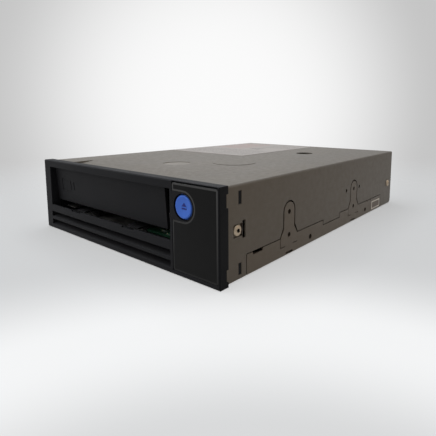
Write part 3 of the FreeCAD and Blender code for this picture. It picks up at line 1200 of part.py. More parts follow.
def labels_and_screws():
    thick = S.label_thick
    node(box(-S.label_left, S.label_right, depth(S.label_front), depth(S.label_rear), TOP,
             TOP + thick), "top_label")
    node(box(SIDE, SIDE + thick, depth(S.sticker_front), depth(S.sticker_rear), S.sticker_foot,
             S.sticker_head), "side_label")
    screws = []
    seats = [SIDE - S.dimple_depth, SIDE]
    for seat, (y, z) in zip(seats, SCREWS):
        for side in (-1, 1):
            turn = 90.0 * side
            screw = Body(side * seat, y, z, turn, Vector(0, 1, 0))
            head, shank = S.screw_head, S.screw_shank
            reach = -(seat - INNER + S.screw_reach)
            screw.turned([(0, reach), (shank, reach), (shank, 0), (head, 0), (head, 0.5),
                          (head - 0.5, S.screw_head_tall), (0, S.screw_head_tall)])
            screw.pocket("z", S.screw_head_tall - 0.6, S.screw_head_tall + 1,
                         rect(-1.5, 1.5, -0.3, 0.3))
            screws.append(screw.body)
    node(group(*screws), "cover_screws")
    fixings = []
    for side in (-1, 1):
        for y in DECK_POSTS:
            x = side * S.post_x
            fixings.append(fuse(rod("z", x, y, DECK_TOP - 0.95, S.deck_screw_head, 0.9),
                                rod("z", x, y, FLOOR + 2, S.deck_screw_shank - 0.02,
                                    DECK_TOP - 0.5 - FLOOR - 2)))
    node(group(*fixings), "deck_screws")
    tall = S.board_screw_tall
    fixings = [rod("y", x, PANEL_BOARD + S.board_thick, z, 1.9, tall) for x, z in PANEL_BOSSES]
    for side in (-1, 1):
        for y in STANDOFFS:
            x, top = side * S.standoff_x, S.board_z + S.main_thick
            fixings.append(fuse(rod("z", x, y, top, S.deck_screw_head, tall),
                                rod("z", x, y, FLOOR + 0.5, S.deck_screw_shank - 0.02,
                                    top - FLOOR)))
    node(group(*fixings), "board_screws")


base_chassis()
top_cover()
rear_panel()
front_bezel()
panel_overlay()
unload_button()
button_spring()
control_board()
cartridge_door()
door_spring()
slot_guides()
cartridge_tray()
load_rack()
loader()
side_rail()
reader_board()
deck_frame()
reel_motors()
guide_rollers()
head_unit()
threader()
electronics()
labels_and_screws()

doc.recompute()

# Nothing is written unless every object of the document came out whole.
for item in doc.Objects:
    if "Invalid" in item.State or "Error" in item.State:
        raise RuntimeError(f"{item.Label} failed: {item.State}")
for piece in NODES:
    if piece.Shape.isNull() or not piece.Shape.isValid():
        raise RuntimeError(f"{piece.Label} has no valid shape")
for piece in NODES:
    piece.Shape.exportStep(f"parts/{piece.Label}.step")
    print(f"{piece.Label}: {len(piece.Shape.Solids)} solid(s), {piece.Shape.Volume:.1f} mm3")
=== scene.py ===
# %% [markdown]
# # A half-height data tape drive
# The drive is a flat steel box with a moulded black front.  All its parts already stand in one
# fixed frame, in metres: x runs across the front, y runs towards the rear and z is up.  This
# notebook lights them, gives each one a finish made of shader nodes, and models the few pieces
# whose fine shape is only worth having in a picture.

# %% Load the frame
import json
import math

import bmesh
import bpy
from mathutils import Matrix, Vector


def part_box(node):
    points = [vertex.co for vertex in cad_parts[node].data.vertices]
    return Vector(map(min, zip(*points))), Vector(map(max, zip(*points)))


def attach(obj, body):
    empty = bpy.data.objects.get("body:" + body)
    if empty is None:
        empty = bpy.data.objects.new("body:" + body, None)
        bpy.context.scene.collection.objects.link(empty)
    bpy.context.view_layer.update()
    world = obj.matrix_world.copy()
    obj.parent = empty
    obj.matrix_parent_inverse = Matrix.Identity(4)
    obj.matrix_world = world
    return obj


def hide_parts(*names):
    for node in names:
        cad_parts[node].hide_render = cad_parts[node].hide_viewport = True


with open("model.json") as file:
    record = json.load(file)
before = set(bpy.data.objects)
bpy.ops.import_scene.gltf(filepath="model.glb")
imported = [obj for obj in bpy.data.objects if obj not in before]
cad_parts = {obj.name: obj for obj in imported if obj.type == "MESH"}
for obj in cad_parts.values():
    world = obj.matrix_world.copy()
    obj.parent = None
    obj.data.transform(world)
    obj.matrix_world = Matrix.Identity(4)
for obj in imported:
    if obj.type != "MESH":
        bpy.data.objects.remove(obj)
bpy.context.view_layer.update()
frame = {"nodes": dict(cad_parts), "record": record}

MM = 0.001

# %% [markdown]
# ## Places
# Sizes and places are read from the parts themselves, so a piece made here lands on its seat
# even when the drive is built to another size.

# %% Read the planes that later cells use
cover_low, cover_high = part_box("top_cover")
DATUM_Y = cover_low.y
REAR_Y = cover_high.y
SIDE_X = cover_high.x
BODY_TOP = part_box("top_label")[0].z
print("body from", round(DATUM_Y, 4), "to", round(REAR_Y, 4), "with its top at", round(BODY_TOP, 4))

# %% [markdown]
# ## Camera
# The drive is seen from its front right corner, a little from above.  The camera stands close,
# so the near corner is large and the rear edge small.  A small shift of the lens frames the
# drive without turning the camera further down, so the upright edges lean only a little.

# %% Place the camera
CAMERA_AZIMUTH = 38.25
CAMERA_ELEVATION = 7.35
CAMERA_ROLL = 0.21
CAMERA_PLACE = Vector((173.06, -211.53, 69.90)) * MM
SENSOR_WIDTH = 36.0
FOCAL_SHARE = 381.92 / 436.0
SHIFT = (-0.0734, -0.1216)


def camera_turn(azimuth, elevation, roll):
    """The rotation of a camera that looks at the drive from that side."""
    level = Matrix.Rotation(math.radians(azimuth), 4, "Z")
    tilt = Matrix.Rotation(math.radians(90.0 - elevation), 4, "X")
    spin = Matrix.Rotation(math.radians(roll), 4, "Z")
    return level @ tilt @ spin


camera_data = bpy.data.cameras.new("view_camera")
camera_data.sensor_width = SENSOR_WIDTH
camera_data.lens = SENSOR_WIDTH * FOCAL_SHARE
camera_data.shift_x, camera_data.shift_y = SHIFT
camera_data.clip_start = 0.01
camera = bpy.data.objects.new("view_camera", camera_data)
camera.matrix_world = Matrix.Translation(CAMERA_PLACE) @ camera_turn(
    CAMERA_AZIMUTH, CAMERA_ELEVATION, CAMERA_ROLL)
bpy.context.scene.collection.objects.link(camera)
bpy.context.scene.camera = camera
bpy.context.scene.view_settings.view_transform = "Standard"
print("lens", round(camera_data.lens, 2), "mm")

# %% [markdown]
# ## Lamps
# One large soft lamp stands to the front left, so the black front is brightest at its left end.
# A wide lamp above lights the sheet-metal top, and a weak warm one keeps the right side dim but
# readable.  Sunlight would be simpler, but a small hard light makes black plastic look like glass,
# while wide lamps show its grain.

# %% Lamps
def lamp(name, place, aim, size, power, colour):
    """An area lamp at place that points at aim."""
    data = bpy.data.lights.new(name, "AREA")
    data.shape = "RECTANGLE"
    data.size, data.size_y = size
    data.energy = power
    data.color = colour
    made = bpy.data.objects.new(name, data)
    towards = (Vector(aim) - Vector(place)).to_track_quat("-Z", "Y")
    made.matrix_world = Matrix.LocRotScale(Vector(place), towards, None)
    bpy.context.scene.collection.objects.link(made)


# name, place, aim, size, watts, colour
lamp("key_softbox", (-0.85, -1.05, 0.75), (0, 0, 0.02), (1.0, 0.8), 5.0, (1.0, 0.99, 0.98))
lamp("top_softbox", (-0.20, 0.02, 1.20), (0, 0, 0.02), (1.4, 1.4), 17.6, (0.905, 0.955, 1.0))
lamp("side_fill", (1.15, 0.70, 0.35), (0.07, 0, 0.02), (0.8, 0.6), 1.2, (1.0, 0.72, 0.46))

# %% [markdown]
# ## How networks of nodes are put together
# Backdrop, floor and finishes are small networks of shader nodes.  They could be built by hand in
# the editor, or painted as pictures.  A network keeps its sharpness at any distance, and a few
# helpers that place a node and wire it in one go keep the script short enough to read.

# %% Helpers that place and wire nodes
def feed(tree, socket, value):
    """Links value to socket if it is a socket, and otherwise sets it."""
    if isinstance(value, bpy.types.NodeSocket):
        tree.links.new(value, socket)
    else:
        socket.default_value = value


def feed_named(tree, node, values):
    """Feeds a node's inputs, named with underscores in place of blanks."""
    for key, value in values.items():
        feed(tree, node.inputs[key.replace("_", " ")], value)


def put(tree, kind, settings=None, **values):
    """Adds a node.  A value sets the input of that name and a socket is linked to it."""
    node = tree.nodes.new(kind)
    for key, value in (settings or {}).items():
        setattr(node, key, value)
    feed_named(tree, node, values)
    return node


def emptied(data):
    """Switches a material or a world to nodes and returns its tree, with nothing in it."""
    data.use_nodes = True
    data.node_tree.nodes.clear()
    return data.node_tree


print("node helpers are ready")


# %% Helpers for sums on numbers, places and colours
def calc(tree, operation, *values):
    """One Math node; returns its result."""
    node = put(tree, "ShaderNodeMath", {"operation": operation})
    for socket, value in zip(node.inputs, values):
        feed(tree, socket, value)
    return node.outputs["Value"]


def scaled(tree, value, factor):
    return calc(tree, "MULTIPLY", value, factor)


GIVES_A_NUMBER = ("DOT_PRODUCT", "LENGTH", "DISTANCE")


def vector_calc(tree, operation, *values):
    """One Vector Math node; returns its number if it makes one, and otherwise its vector."""
    node = put(tree, "ShaderNodeVectorMath", {"operation": operation})
    for socket, value in zip(node.inputs, values):
        feed(tree, socket, value)
    return node.outputs["Value" if operation in GIVES_A_NUMBER else "Vector"]


def spread(tree, value, low, high, start=0.0, end=1.0, kind="LINEAR"):
    """Maps value, from low to high, on to start to end, and stops there."""
    node = put(tree, "ShaderNodeMapRange", {"interpolation_type": kind}, Value=value,
               From_Min=low, From_Max=high, To_Min=start, To_Max=end)
    return node.outputs["Result"]


def tinted(tree, mask, plain, other):
    """The colour plain where mask is 0, and other where it is 1."""
    node = put(tree, "ShaderNodeMix", {"data_type": "RGBA"})
    feed(tree, node.inputs["Factor"], mask)
    for socket, colour in zip((node.inputs[6], node.inputs[7]), (plain, other)):
        feed(tree, socket, colour if isinstance(colour, bpy.types.NodeSocket) else (*colour, 1.0))
    return node.outputs[2]


def shaders_mixed(tree, mask, plain, other):
    """The shader plain where mask is 0, and other where it is 1."""
    node = put(tree, "ShaderNodeMixShader", Fac=mask)
    feed(tree, node.inputs[1], plain)
    feed(tree, node.inputs[2], other)
    return node.outputs["Shader"]


def object_place(tree):
    return put(tree, "ShaderNodeTexCoord").outputs["Object"]


def object_axes(tree):
    """The X, Y and Z of each point of the drive, in metres, as three sockets."""
    return put(tree, "ShaderNodeSeparateXYZ", Vector=object_place(tree)).outputs


print("helpers for sums are ready")

# %% [markdown]
# ## Backdrop
# Behind the drive hangs a pale sheet, brightest in the middle and grey at its ends.  It could be
# a curved wall, but a world that depends on direction needs no geometry and casts no shadow.  The
# camera, metal and glass see it at full strength; for all else the world is only a dim fill, so a
# bright backdrop never bleaches the drive.

# %% Backdrop
GLOW_AZIMUTH = CAMERA_AZIMUTH + 4.5
GLOW_LIFT = 0.02
GLOW_WIDTH = 0.86
GLOW_GREYS = (0.56, 0.96)
FLOOR_SLOPES, FLOOR_GREYS = (-0.90, -0.60), (0.66, 0.97)
HORIZON_SLOPES = (-0.56, -0.36)
FILL_COLOUR, FILL_STRENGTH = (1.0, 0.97, 0.93, 1.0), 0.14

world = bpy.data.worlds.new("studio")
bpy.context.scene.world = world
tree = emptied(world)
direction = put(tree, "ShaderNodeTexCoord").outputs["Generated"]
turn = math.radians(GLOW_AZIMUTH)
facing = vector_calc(tree, "DOT_PRODUCT", direction, (-math.sin(turn), math.cos(turn), GLOW_LIFT))
glow = spread(tree, facing, GLOW_WIDTH, 1.0, *GLOW_GREYS, kind="SMOOTHSTEP")
level = vector_calc(tree, "LENGTH", vector_calc(tree, "MULTIPLY", direction, (1.0, 1.0, 0.0)))
height = put(tree, "ShaderNodeSeparateXYZ", Vector=direction).outputs["Z"]
slope = calc(tree, "DIVIDE", height, level)
near_floor = spread(tree, slope, *FLOOR_SLOPES, *FLOOR_GREYS, kind="SMOOTHSTEP")
into_floor = spread(tree, slope, *HORIZON_SLOPES, 1.0, 0.0, kind="SMOOTHSTEP")
grey = put(tree, "ShaderNodeMix", Factor=into_floor, A=glow, B=near_floor).outputs["Result"]
sheet = put(tree, "ShaderNodeCombineColor", Red=grey, Green=grey, Blue=grey)
seen = put(tree, "ShaderNodeBackground", Color=sheet.outputs["Color"])
fill = put(tree, "ShaderNodeBackground", Color=FILL_COLOUR, Strength=FILL_STRENGTH)
rays = put(tree, "ShaderNodeLightPath").outputs
seeing = calc(tree, "MAXIMUM", rays["Is Camera Ray"], rays["Is Transmission Ray"])
seeing = calc(tree, "MAXIMUM", seeing, rays["Is Glossy Ray"])
put(tree, "ShaderNodeOutputWorld", Surface=shaders_mixed(
    tree, seeing, fill.outputs["Background"], seen.outputs["Background"]))
print("backdrop is ready")

# %% [markdown]
# ## Floor
# The drive lies on the same pale sheet, so the floor only has to catch its shadow.  It is a disc
# that is partly clear under the drive and wholly clear further out, where the backdrop takes over
# without an edge.

# %% Floor
def new_mesh_object(name, mesh_builder, *arguments):
    """Runs a bmesh builder and returns its result as an object at the origin."""
    mesh = bpy.data.meshes.new(name)
    shape = bmesh.new()
    mesh_builder(shape, *arguments)
    shape.to_mesh(mesh)
    shape.free()
    made = bpy.data.objects.new(name, mesh)
    bpy.context.scene.collection.objects.link(made)
    return made


FLOOR_DROP = 0.0002
FLOOR_RADIUS = 1.0
FADE_FROM, FADE_TO = 0.14, 0.50
FLOOR_SHARE = 0.34


def build_floor(shape):
    bmesh.ops.create_circle(shape, cap_ends=True, segments=96, radius=FLOOR_RADIUS)
    bmesh.ops.translate(shape, verts=shape.verts, vec=(0, 0, -FLOOR_DROP))


floor = new_mesh_object("floor", build_floor)
floor_look = bpy.data.materials.new("floor_sweep")
floor_look.surface_render_method = "BLENDED"
tree = emptied(floor_look)
reach = vector_calc(tree, "LENGTH", object_place(tree))
fade = spread(tree, reach, FADE_FROM, FADE_TO, FLOOR_SHARE, 0.0, kind="SMOOTHSTEP")
pale = put(tree, "ShaderNodeBsdfDiffuse", Color=(0.80, 0.80, 0.80, 1.0))
clear = put(tree, "ShaderNodeBsdfTransparent")
put(tree, "ShaderNodeOutputMaterial", Surface=shaders_mixed(
    tree, fade, clear.outputs["BSDF"], pale.outputs["BSDF"]))
floor.data.materials.append(floor_look)
print("floor is", FLOOR_RADIUS * 2, "m across")

# %% [markdown]
# ## Shared effects
# Some effects turn up on many finishes: the grain of a mould, the lines a rolling mill leaves in
# sheet, rubbed edges and dust.  Each is built once as a node group with named inputs and
# outputs, and every finish places it with values of its own.  All of them read where a point lies
# on the drive, so a pattern stays put when the view or the lamps change.

# %% Helpers for node groups
def new_group(name, inputs, outputs):
    """An empty shader group; returns it with its input and output sockets."""
    tree = bpy.data.node_groups.new(name, "ShaderNodeTree")
    for label, value in inputs.items():
        socket = tree.interface.new_socket(label, in_out="INPUT", socket_type="NodeSocketFloat")
        socket.default_value = value
    for label in outputs:
        tree.interface.new_socket(label, in_out="OUTPUT", socket_type="NodeSocketFloat")
    return tree, tree.nodes.new("NodeGroupInput").outputs, tree.nodes.new("NodeGroupOutput").inputs


def per_millimetre(tree, size):
    """The texture scale at which one cell of noise is size millimetres wide."""
    return calc(tree, "DIVIDE", 1.0 / MM, size)


def noise(tree, place, scale, detail, roughness=0.5):
    return put(tree, "ShaderNodeTexNoise", Vector=place, Scale=scale, Detail=detail,
               Roughness=roughness).outputs["Fac"]


def grain_of(tree, size, detail, roughness=0.5):
    """Noise on the drive's own places, in cells that are size millimetres wide."""
    return noise(tree, object_place(tree), per_millimetre(tree, size), detail, roughness)


print("group helpers are ready")

# %% Grain of a mould
moulded_grain, given, result = new_group("moulded_grain", {"Pitch": 0.3}, ("Height", "Fleck"))
fine = grain_of(moulded_grain, given["Pitch"], 2.0, 0.6)
feed(moulded_grain, result["Height"], fine)
feed(moulded_grain, result["Fleck"], spread(moulded_grain, fine, 0.58, 0.74))
print("group:", moulded_grain.name)

# %% Slow unevenness of a surface
soft_patches, given, result = new_group("soft_patches", {"Size": 20.0}, ("Mask",))
cloud = grain_of(soft_patches, given["Size"], 3.0, 0.55)
feed(soft_patches, result["Mask"], spread(soft_patches, cloud, 0.32, 0.68))
print("group:", soft_patches.name)

# %% Rubbed edges
edge_rub, given, result = new_group("edge_rub", {"Width": 0.2, "Breaks": 4.0}, ("Mask",))
rounded = put(edge_rub, "ShaderNodeBevel", {"samples": 6},
              Radius=scaled(edge_rub, given["Width"], MM))
true = put(edge_rub, "ShaderNodeNewGeometry")
match = vector_calc(edge_rub, "DOT_PRODUCT", rounded.outputs["Normal"], true.outputs["Normal"])
bent = spread(edge_rub, match, 0.995, 0.86)
broken = spread(edge_rub, grain_of(edge_rub, given["Breaks"], 4.0), 0.30, 0.62)
feed(edge_rub, result["Mask"], scaled(edge_rub, bent, broken))
print("group:", edge_rub.name)

# %% Dust that settles on faces that look up
dust_film, given, result = new_group("dust_film", {"Speck": 0.5, "Drift": 22.0}, ("Mask",))
normal = put(dust_film, "ShaderNodeNewGeometry").outputs["Normal"]
up = put(dust_film, "ShaderNodeSeparateXYZ", Vector=normal).outputs["Z"]
speck = spread(dust_film, grain_of(dust_film, given["Speck"], 2.0), 0.50, 0.72)
drift = spread(dust_film, grain_of(dust_film, given["Drift"], 3.0), 0.35, 0.70)
dots = scaled(dust_film, speck, drift)
feed(dust_film, result["Mask"], scaled(dust_film, dots, spread(dust_film, up, 0.3, 0.9)))
print("group:", dust_film.name)

# %% Lines that the rolling mill leaves
rolled_lines, given, result = new_group(
    "rolled_lines", {"Across": 0.25, "Along": 14.0}, ("Height", "Shade"))
place = object_axes(rolled_lines)
scales = {"X": "Across", "Y": "Along", "Z": "Across"}
drawn = put(rolled_lines, "ShaderNodeCombineXYZ", **{
    axis: scaled(rolled_lines, place[axis], per_millimetre(rolled_lines, given[size]))
    for axis, size in scales.items()})
streak = noise(rolled_lines, drawn.outputs["Vector"], 1.0, 3.0, 0.65)
feed(rolled_lines, result["Height"], streak)
feed(rolled_lines, result["Shade"], spread(rolled_lines, streak, 0.30, 0.70))
print("group:", rolled_lines.name)

# %% Hairline scratches from sliding in and out of a bay
hairlines, given, result = new_group("hairlines", {"Turn": 0.3, "Amount": 0.5}, ("Mask",))
THREAD_SCALES = (2600.0, 42.0, 2600.0)
angles = put(hairlines, "ShaderNodeCombineXYZ", X=given["Turn"], Y=given["Turn"], Z=given["Turn"])
turned = put(hairlines, "ShaderNodeVectorRotate", {"rotation_type": "EULER_XYZ"},
             Vector=object_place(hairlines), Rotation=angles.outputs["Vector"])
stretched = put(hairlines, "ShaderNodeMapping", Vector=turned.outputs["Vector"],
                Scale=THREAD_SCALES)
thread = noise(hairlines, stretched.outputs["Vector"], 1.0, 1.0)
cut_off = spread(hairlines, given["Amount"], 0.0, 1.0, 0.86, 0.62)
feed(hairlines, result["Mask"], calc(hairlines, "GREATER_THAN", thread, cut_off))
print("group:", hairlines.name)

# %% [markdown]
# ## Finishes
# A material starts as one Principled shader.  The helpers below open it, place shared effects
# in it and join them.  Values that are the same all over a surface are set on the shader itself.

# %% Open a material and place groups in it
FINISHES = {}


def new_look(name, **values):
    """Opens a material with one Principled shader; values go on the shader's own sockets."""
    FINISHES[name] = bpy.data.materials.new(name)
    tree = emptied(FINISHES[name])
    shader = put(tree, "ShaderNodeBsdfPrincipled", **values)
    put(tree, "ShaderNodeOutputMaterial", Surface=shader.outputs["BSDF"])
    return tree, shader


def effect(tree, group, **values):
    """Places a shared effect in a material and returns its outputs."""
    return put(tree, "ShaderNodeGroup", {"node_tree": group}, **values).outputs


def masked(tree, group, **values):
    """Places a shared effect that makes one mask and returns that."""
    return effect(tree, group, **values)["Mask"]


def dress(tree, shader, height, depth_mm, **values):
    """Feeds the shader's sockets, and turns a height from 0 to 1 into bumps of that depth."""
    feed_named(tree, shader, values)
    bumps = put(tree, "ShaderNodeBump", Height=height, Strength=1.0, Distance=depth_mm * MM)
    feed(tree, shader.inputs["Normal"], bumps.outputs["Normal"])


def shade(colour, amount):
    """A lighter or darker copy of a colour."""
    return tuple(min(1.0, channel * amount) for channel in colour)


def graded(tree, mask, start, end):
    """A value that goes from start, where a mask is 0, to end, where it is 1."""
    return spread(tree, mask, 0.0, 1.0, start, end)


print("finish helpers are ready")

# %% [markdown]
# ### Moulded plastics
# The bezel, the door, the guides and the gears are injection moulded.  The tool's spark-eroded
# texture gives them a fine even grain.  Handling polishes the edges, so they look paler and a
# little smoother, and dust collects on ledges.  The end faces of the bezel and the hooks behind
# them take a deeper black: painted shade for the weaker light that falls on them.

# %% Moulded plastic
PLASTIC_DUST = (0.30, 0.29, 0.28)


def painted_shade_on_bezel_ends(tree):
    """1 on the bezel's outer end faces and the hooks behind them, which get painted shade."""
    place = object_axes(tree)
    off_middle = calc(tree, "ABSOLUTE", place["X"])
    hooks = scaled(tree, calc(tree, "GREATER_THAN", off_middle, SIDE_X - 0.5 * MM),
                   calc(tree, "GREATER_THAN", place["Y"], DATUM_Y + 1.0 * MM))
    return calc(tree, "MAXIMUM", hooks, calc(tree, "GREATER_THAN", off_middle, SIDE_X + 0.9 * MM))


def moulded(name, colour, rough, grain_mm, depth_mm, edge, dust, end_shade=1.0):
    tree, shader = new_look(name, Specular_IOR_Level=0.10)
    grain = effect(tree, moulded_grain, Pitch=grain_mm)
    patch = masked(tree, soft_patches, Size=26.0)
    rubbed = masked(tree, edge_rub, Width=0.22, Breaks=5.0)
    settled = scaled(tree, masked(tree, dust_film, Speck=0.45), dust)
    plain = tinted(tree, patch, shade(colour, 0.92), shade(colour, 1.07))
    # Painted shade: the bezel's end faces and hooks take a darker copy of the colour.
    plain = tinted(tree, painted_shade_on_bezel_ends(tree), plain, shade(colour, end_shade))
    flecked = tinted(tree, scaled(tree, grain["Fleck"], 0.35), plain, shade(colour, 1.6))
    worn = tinted(tree, rubbed, flecked, edge)
    polished = calc(tree, "ADD", graded(tree, patch, rough - 0.04, rough + 0.05),
                    scaled(tree, rubbed, -0.12))
    dress(tree, shader, grain["Height"], depth_mm, Roughness=polished,
          Base_Color=tinted(tree, settled, worn, PLASTIC_DUST))


# name, colour, roughness, width and depth of the grain in mm, colour of rubbed edges, dust
# The bezel's last value darkens its end faces and hooks to 0.4 of its colour: painted shade.
moulded("bezel_plastic", (0.0158, 0.0158, 0.0178), 0.60, 0.34, 0.045, (0.036, 0.036, 0.038), 0.12,
        end_shade=0.4)
# The guides are darker than the bezel: black moulding, deepened as painted shade for the dark slot.
moulded("guide_black", (0.008, 0.008, 0.009), 0.75, 0.5, 0.02, (0.016, 0.016, 0.016), 0.02)
moulded("gear_white", (0.62, 0.60, 0.54), 0.36, 0.8, 0.012, (0.70, 0.68, 0.62), 0.1)
moulded("chip_black", (0.028, 0.028, 0.030), 0.50, 0.18, 0.012, (0.05, 0.05, 0.05), 0.1)
moulded("port_black", (0.018, 0.018, 0.020), 0.32, 0.4, 0.010, (0.04, 0.04, 0.04), 0.1)
moulded("button_blue", (0.100, 0.245, 0.92), 0.40, 0.30, 0.018, (0.14, 0.30, 0.95), 0.05)
print("moulded finishes:", sorted(FINISHES))

# %% [markdown]
# ### Smoked panel film
# The control panel is covered by a smooth film that hides the lamps until they light.  It has a
# soft satin face with very few marks, and its cut edge catches the light.  A pale line is printed
# along its outline and round the button, and is drawn paler towards the top than near the foot.
# The line could be a thin frame of its own, but it has no thickness, so it is a mask: how far a
# point lies inside the outline decides whether it is on the line.

# %% The printed line
LINE = 0.85
LINE_SOFTNESS = 0.1
ISLAND_RADIUS = 6.35
BUTTON_AT = [(a + b) / 2 / MM for a, b in zip(*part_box("unload_button"))]
film_low, film_high = [[c / MM for c in corner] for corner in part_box("panel_overlay")]


def film_border(tree):
    """1 on the printed line, and a share that grows from 0 at the film's foot to 1 at its head."""
    place = object_axes(tree)
    x, z = [calc(tree, "DIVIDE", place[axis], MM) for axis in "XZ"]
    beside = calc(tree, "MAXIMUM", calc(tree, "SUBTRACT", x, BUTTON_AT[0]), 0.0)
    above = calc(tree, "SUBTRACT", z, BUTTON_AT[2])
    away = calc(tree, "SQRT", calc(tree, "ADD", scaled(tree, beside, beside),
                                   scaled(tree, above, above)))
    inset = calc(tree, "SUBTRACT", away, ISLAND_RADIUS)
    for spot, sign, edge in ((x, -1, film_low[0]), (x, 1, film_high[0]), (z, -1, film_low[2]),
                             (z, 1, film_high[2])):
        room = scaled(tree, calc(tree, "SUBTRACT", edge, spot), sign)
        inset = calc(tree, "MINIMUM", inset, room)
    on_line = spread(tree, inset, LINE + LINE_SOFTNESS, LINE - LINE_SOFTNESS)
    return on_line, spread(tree, z, film_low[2], film_high[2])


print("film is", round(film_high[0] - film_low[0], 1), "mm wide")

# %% Panel film
tree, shader = new_look("panel_film", Specular_IOR_Level=0.08, Coat_Roughness=0.45)
grain = effect(tree, moulded_grain, Pitch=0.16)
patch = masked(tree, soft_patches, Size=34.0)
rubbed = masked(tree, edge_rub, Width=0.30, Breaks=30.0)
border, rise = film_border(tree)
smoke = tinted(tree, patch, (0.0078, 0.0076, 0.0076), (0.0092, 0.0090, 0.0090))
line = tinted(tree, rise, (0.030, 0.030, 0.030), (0.105, 0.104, 0.103))
bordered = tinted(tree, border, smoke, line)
dress(tree, shader, grain["Height"], 0.010, Roughness=graded(tree, patch, 0.40, 0.47),
      Base_Color=tinted(tree, rubbed, bordered, (0.050, 0.050, 0.051)),
      Coat_Weight=graded(tree, grain["Fleck"], 0.02, 0.0))
print("panel film is ready")

# %% [markdown]
# ### Sheet metal
# Cover, base and rear panel are zinc-coated steel sheet.  Close up it shows rolling lines along
# the drive, cloudy patches of the coating, bright cut edges and a few hairlines from sliding into
# a bay.  A punch has pressed one round spot near the front of the top smooth.  The upright sides
# are painted darker and warmer than the top, most of all at the front: painted shade for the dim
# side light.  It is a metal, so its colour sits in its reflections.

# %% Where the sheet differs from itself
COIN_PLACE = Vector((0.3 * MM, DATUM_Y + 37.6 * MM, 0.0))
COIN_RADIUS = 8.0 * MM
# Painted shade: darker, warmer tones for the upright sides, at the front and at the rear.
FLANK_SHADE_FRONT, FLANK_SHADE_REAR = (0.80, 0.73, 0.63), (0.95, 0.93, 0.89)


def on_coined_disc(tree):
    """1 on the round spot that a coining punch has pressed smooth near the front of the top."""
    place = object_axes(tree)
    over = calc(tree, "GREATER_THAN", place["Z"], BODY_TOP - 0.5 * MM)
    spot = put(tree, "ShaderNodeCombineXYZ", X=place["X"], Y=place["Y"])
    away = vector_calc(tree, "DISTANCE", spot.outputs["Vector"], COIN_PLACE)
    return scaled(tree, over, calc(tree, "LESS_THAN", away, COIN_RADIUS))


def painted_shade_on_flank(tree):
    """1 on the upright sides, which are darkened as painted shade, and how far back a point lies.
    """
    place = object_axes(tree)
    beside = calc(tree, "GREATER_THAN", calc(tree, "ABSOLUTE", place["X"]), SIDE_X - 1.6 * MM)
    below = calc(tree, "LESS_THAN", place["Z"], BODY_TOP - 0.9 * MM)
    return scaled(tree, beside, below), spread(tree, place["Y"], DATUM_Y, REAR_Y)


def toned(colour, tone):
    return tuple(channel * factor for channel, factor in zip(colour, tone))


print("coined disc", round(COIN_RADIUS * 2 / MM), "mm across")

# %% Sheet metal
SHEET_DUST, SHEET_DUST_SHARE = (0.36, 0.35, 0.34), 0.14


def sheet_metal(name, colour, warm, rough, metal, scratch, coin=1.0):
    tree, shader = new_look(name)
    rolled = effect(tree, rolled_lines, Across=0.22, Along=16.0)
    cloud = masked(tree, soft_patches, Size=38.0)
    mottle = masked(tree, soft_patches, Size=3.2)
    rubbed = masked(tree, edge_rub, Width=0.18, Breaks=7.0)
    scuffs = calc(tree, "MAXIMUM", masked(tree, hairlines, Turn=0.08, Amount=scratch),
                  masked(tree, hairlines, Turn=1.9, Amount=scratch * 0.8))
    settled = scaled(tree, masked(tree, dust_film, Speck=0.6, Drift=30.0), SHEET_DUST_SHARE)
    flank_shade, along = painted_shade_on_flank(tree)
    look = tinted(tree, rolled["Shade"], shade(colour, 0.94), shade(colour, 1.05))
    for mask, other in (
            (scaled(tree, cloud, 0.5), warm),
            (scaled(tree, mottle, 0.16), shade(colour, 0.86)),
            (on_coined_disc(tree), shade(colour, coin)),
            # Painted shade on the upright sides, strongest at the front.
            (scaled(tree, flank_shade, 0.8),
             tinted(tree, along, toned(colour, FLANK_SHADE_FRONT), toned(colour, FLANK_SHADE_REAR))),
            (scaled(tree, rubbed, 0.6), shade(colour, 1.55)),
            (scaled(tree, scuffs, 0.28), shade(colour, 1.35)),
            (settled, SHEET_DUST)):
        look = tinted(tree, mask, look, other)
    uneven = calc(tree, "ADD", graded(tree, mottle, rough - 0.04, rough + 0.05),
                  graded(tree, rolled["Shade"], -0.03, 0.04))
    dress(tree, shader, rolled["Height"], 0.008, Base_Color=look, Roughness=uneven,
          Metallic=spread(tree, settled, 0.0, SHEET_DUST_SHARE, metal, metal - 0.25))


# name, colour, colour of the warmer clouds, roughness, share of metal, amount of scratches
sheet_metal("cover_steel", (0.135, 0.120, 0.102), (0.150, 0.125, 0.099), 0.50, 0.55, 0.42,
            coin=1.45)
sheet_metal("base_steel", (0.136, 0.115, 0.092), (0.156, 0.124, 0.094), 0.46, 0.60, 0.50)
print("sheet finishes are ready")

# %% [markdown]
# ### Machined and drawn metal
# The deck is a machined casting, shafts and motor cans are ground or drawn, and the screws are
# zinc plated.  Each could have a network of its own.  They share one recipe instead, turning or
# drawing marks, a cloudy plating and bright edges, so they look like parts of one machine.

# %% Bright metal
def bright_metal(name, colour, rough, across_mm, along_mm, cast=0.0, metal=1.0):
    tree, shader = new_look(name)
    marks = effect(tree, rolled_lines, Across=across_mm, Along=along_mm)
    cloud = masked(tree, soft_patches, Size=9.0)
    sand = effect(tree, moulded_grain, Pitch=0.45)
    rubbed = masked(tree, edge_rub, Width=0.15, Breaks=3.0)
    lined = tinted(tree, marks["Shade"], shade(colour, 0.92), shade(colour, 1.05))
    plated = tinted(tree, scaled(tree, cloud, 0.3), lined, shade(colour, 0.82))
    uneven = calc(tree, "ADD", graded(tree, cloud, rough - 0.05, rough + 0.06),
                  graded(tree, marks["Shade"], -0.03, 0.03))
    height = calc(tree, "ADD", scaled(tree, sand["Height"], cast),
                  scaled(tree, marks["Height"], 1.0 - cast))
    dress(tree, shader, height, 0.012, Roughness=uneven,
          Base_Color=tinted(tree, scaled(tree, rubbed, 0.6), plated, shade(colour, 1.25)),
          Metallic=graded(tree, cloud, metal, metal - 0.06))


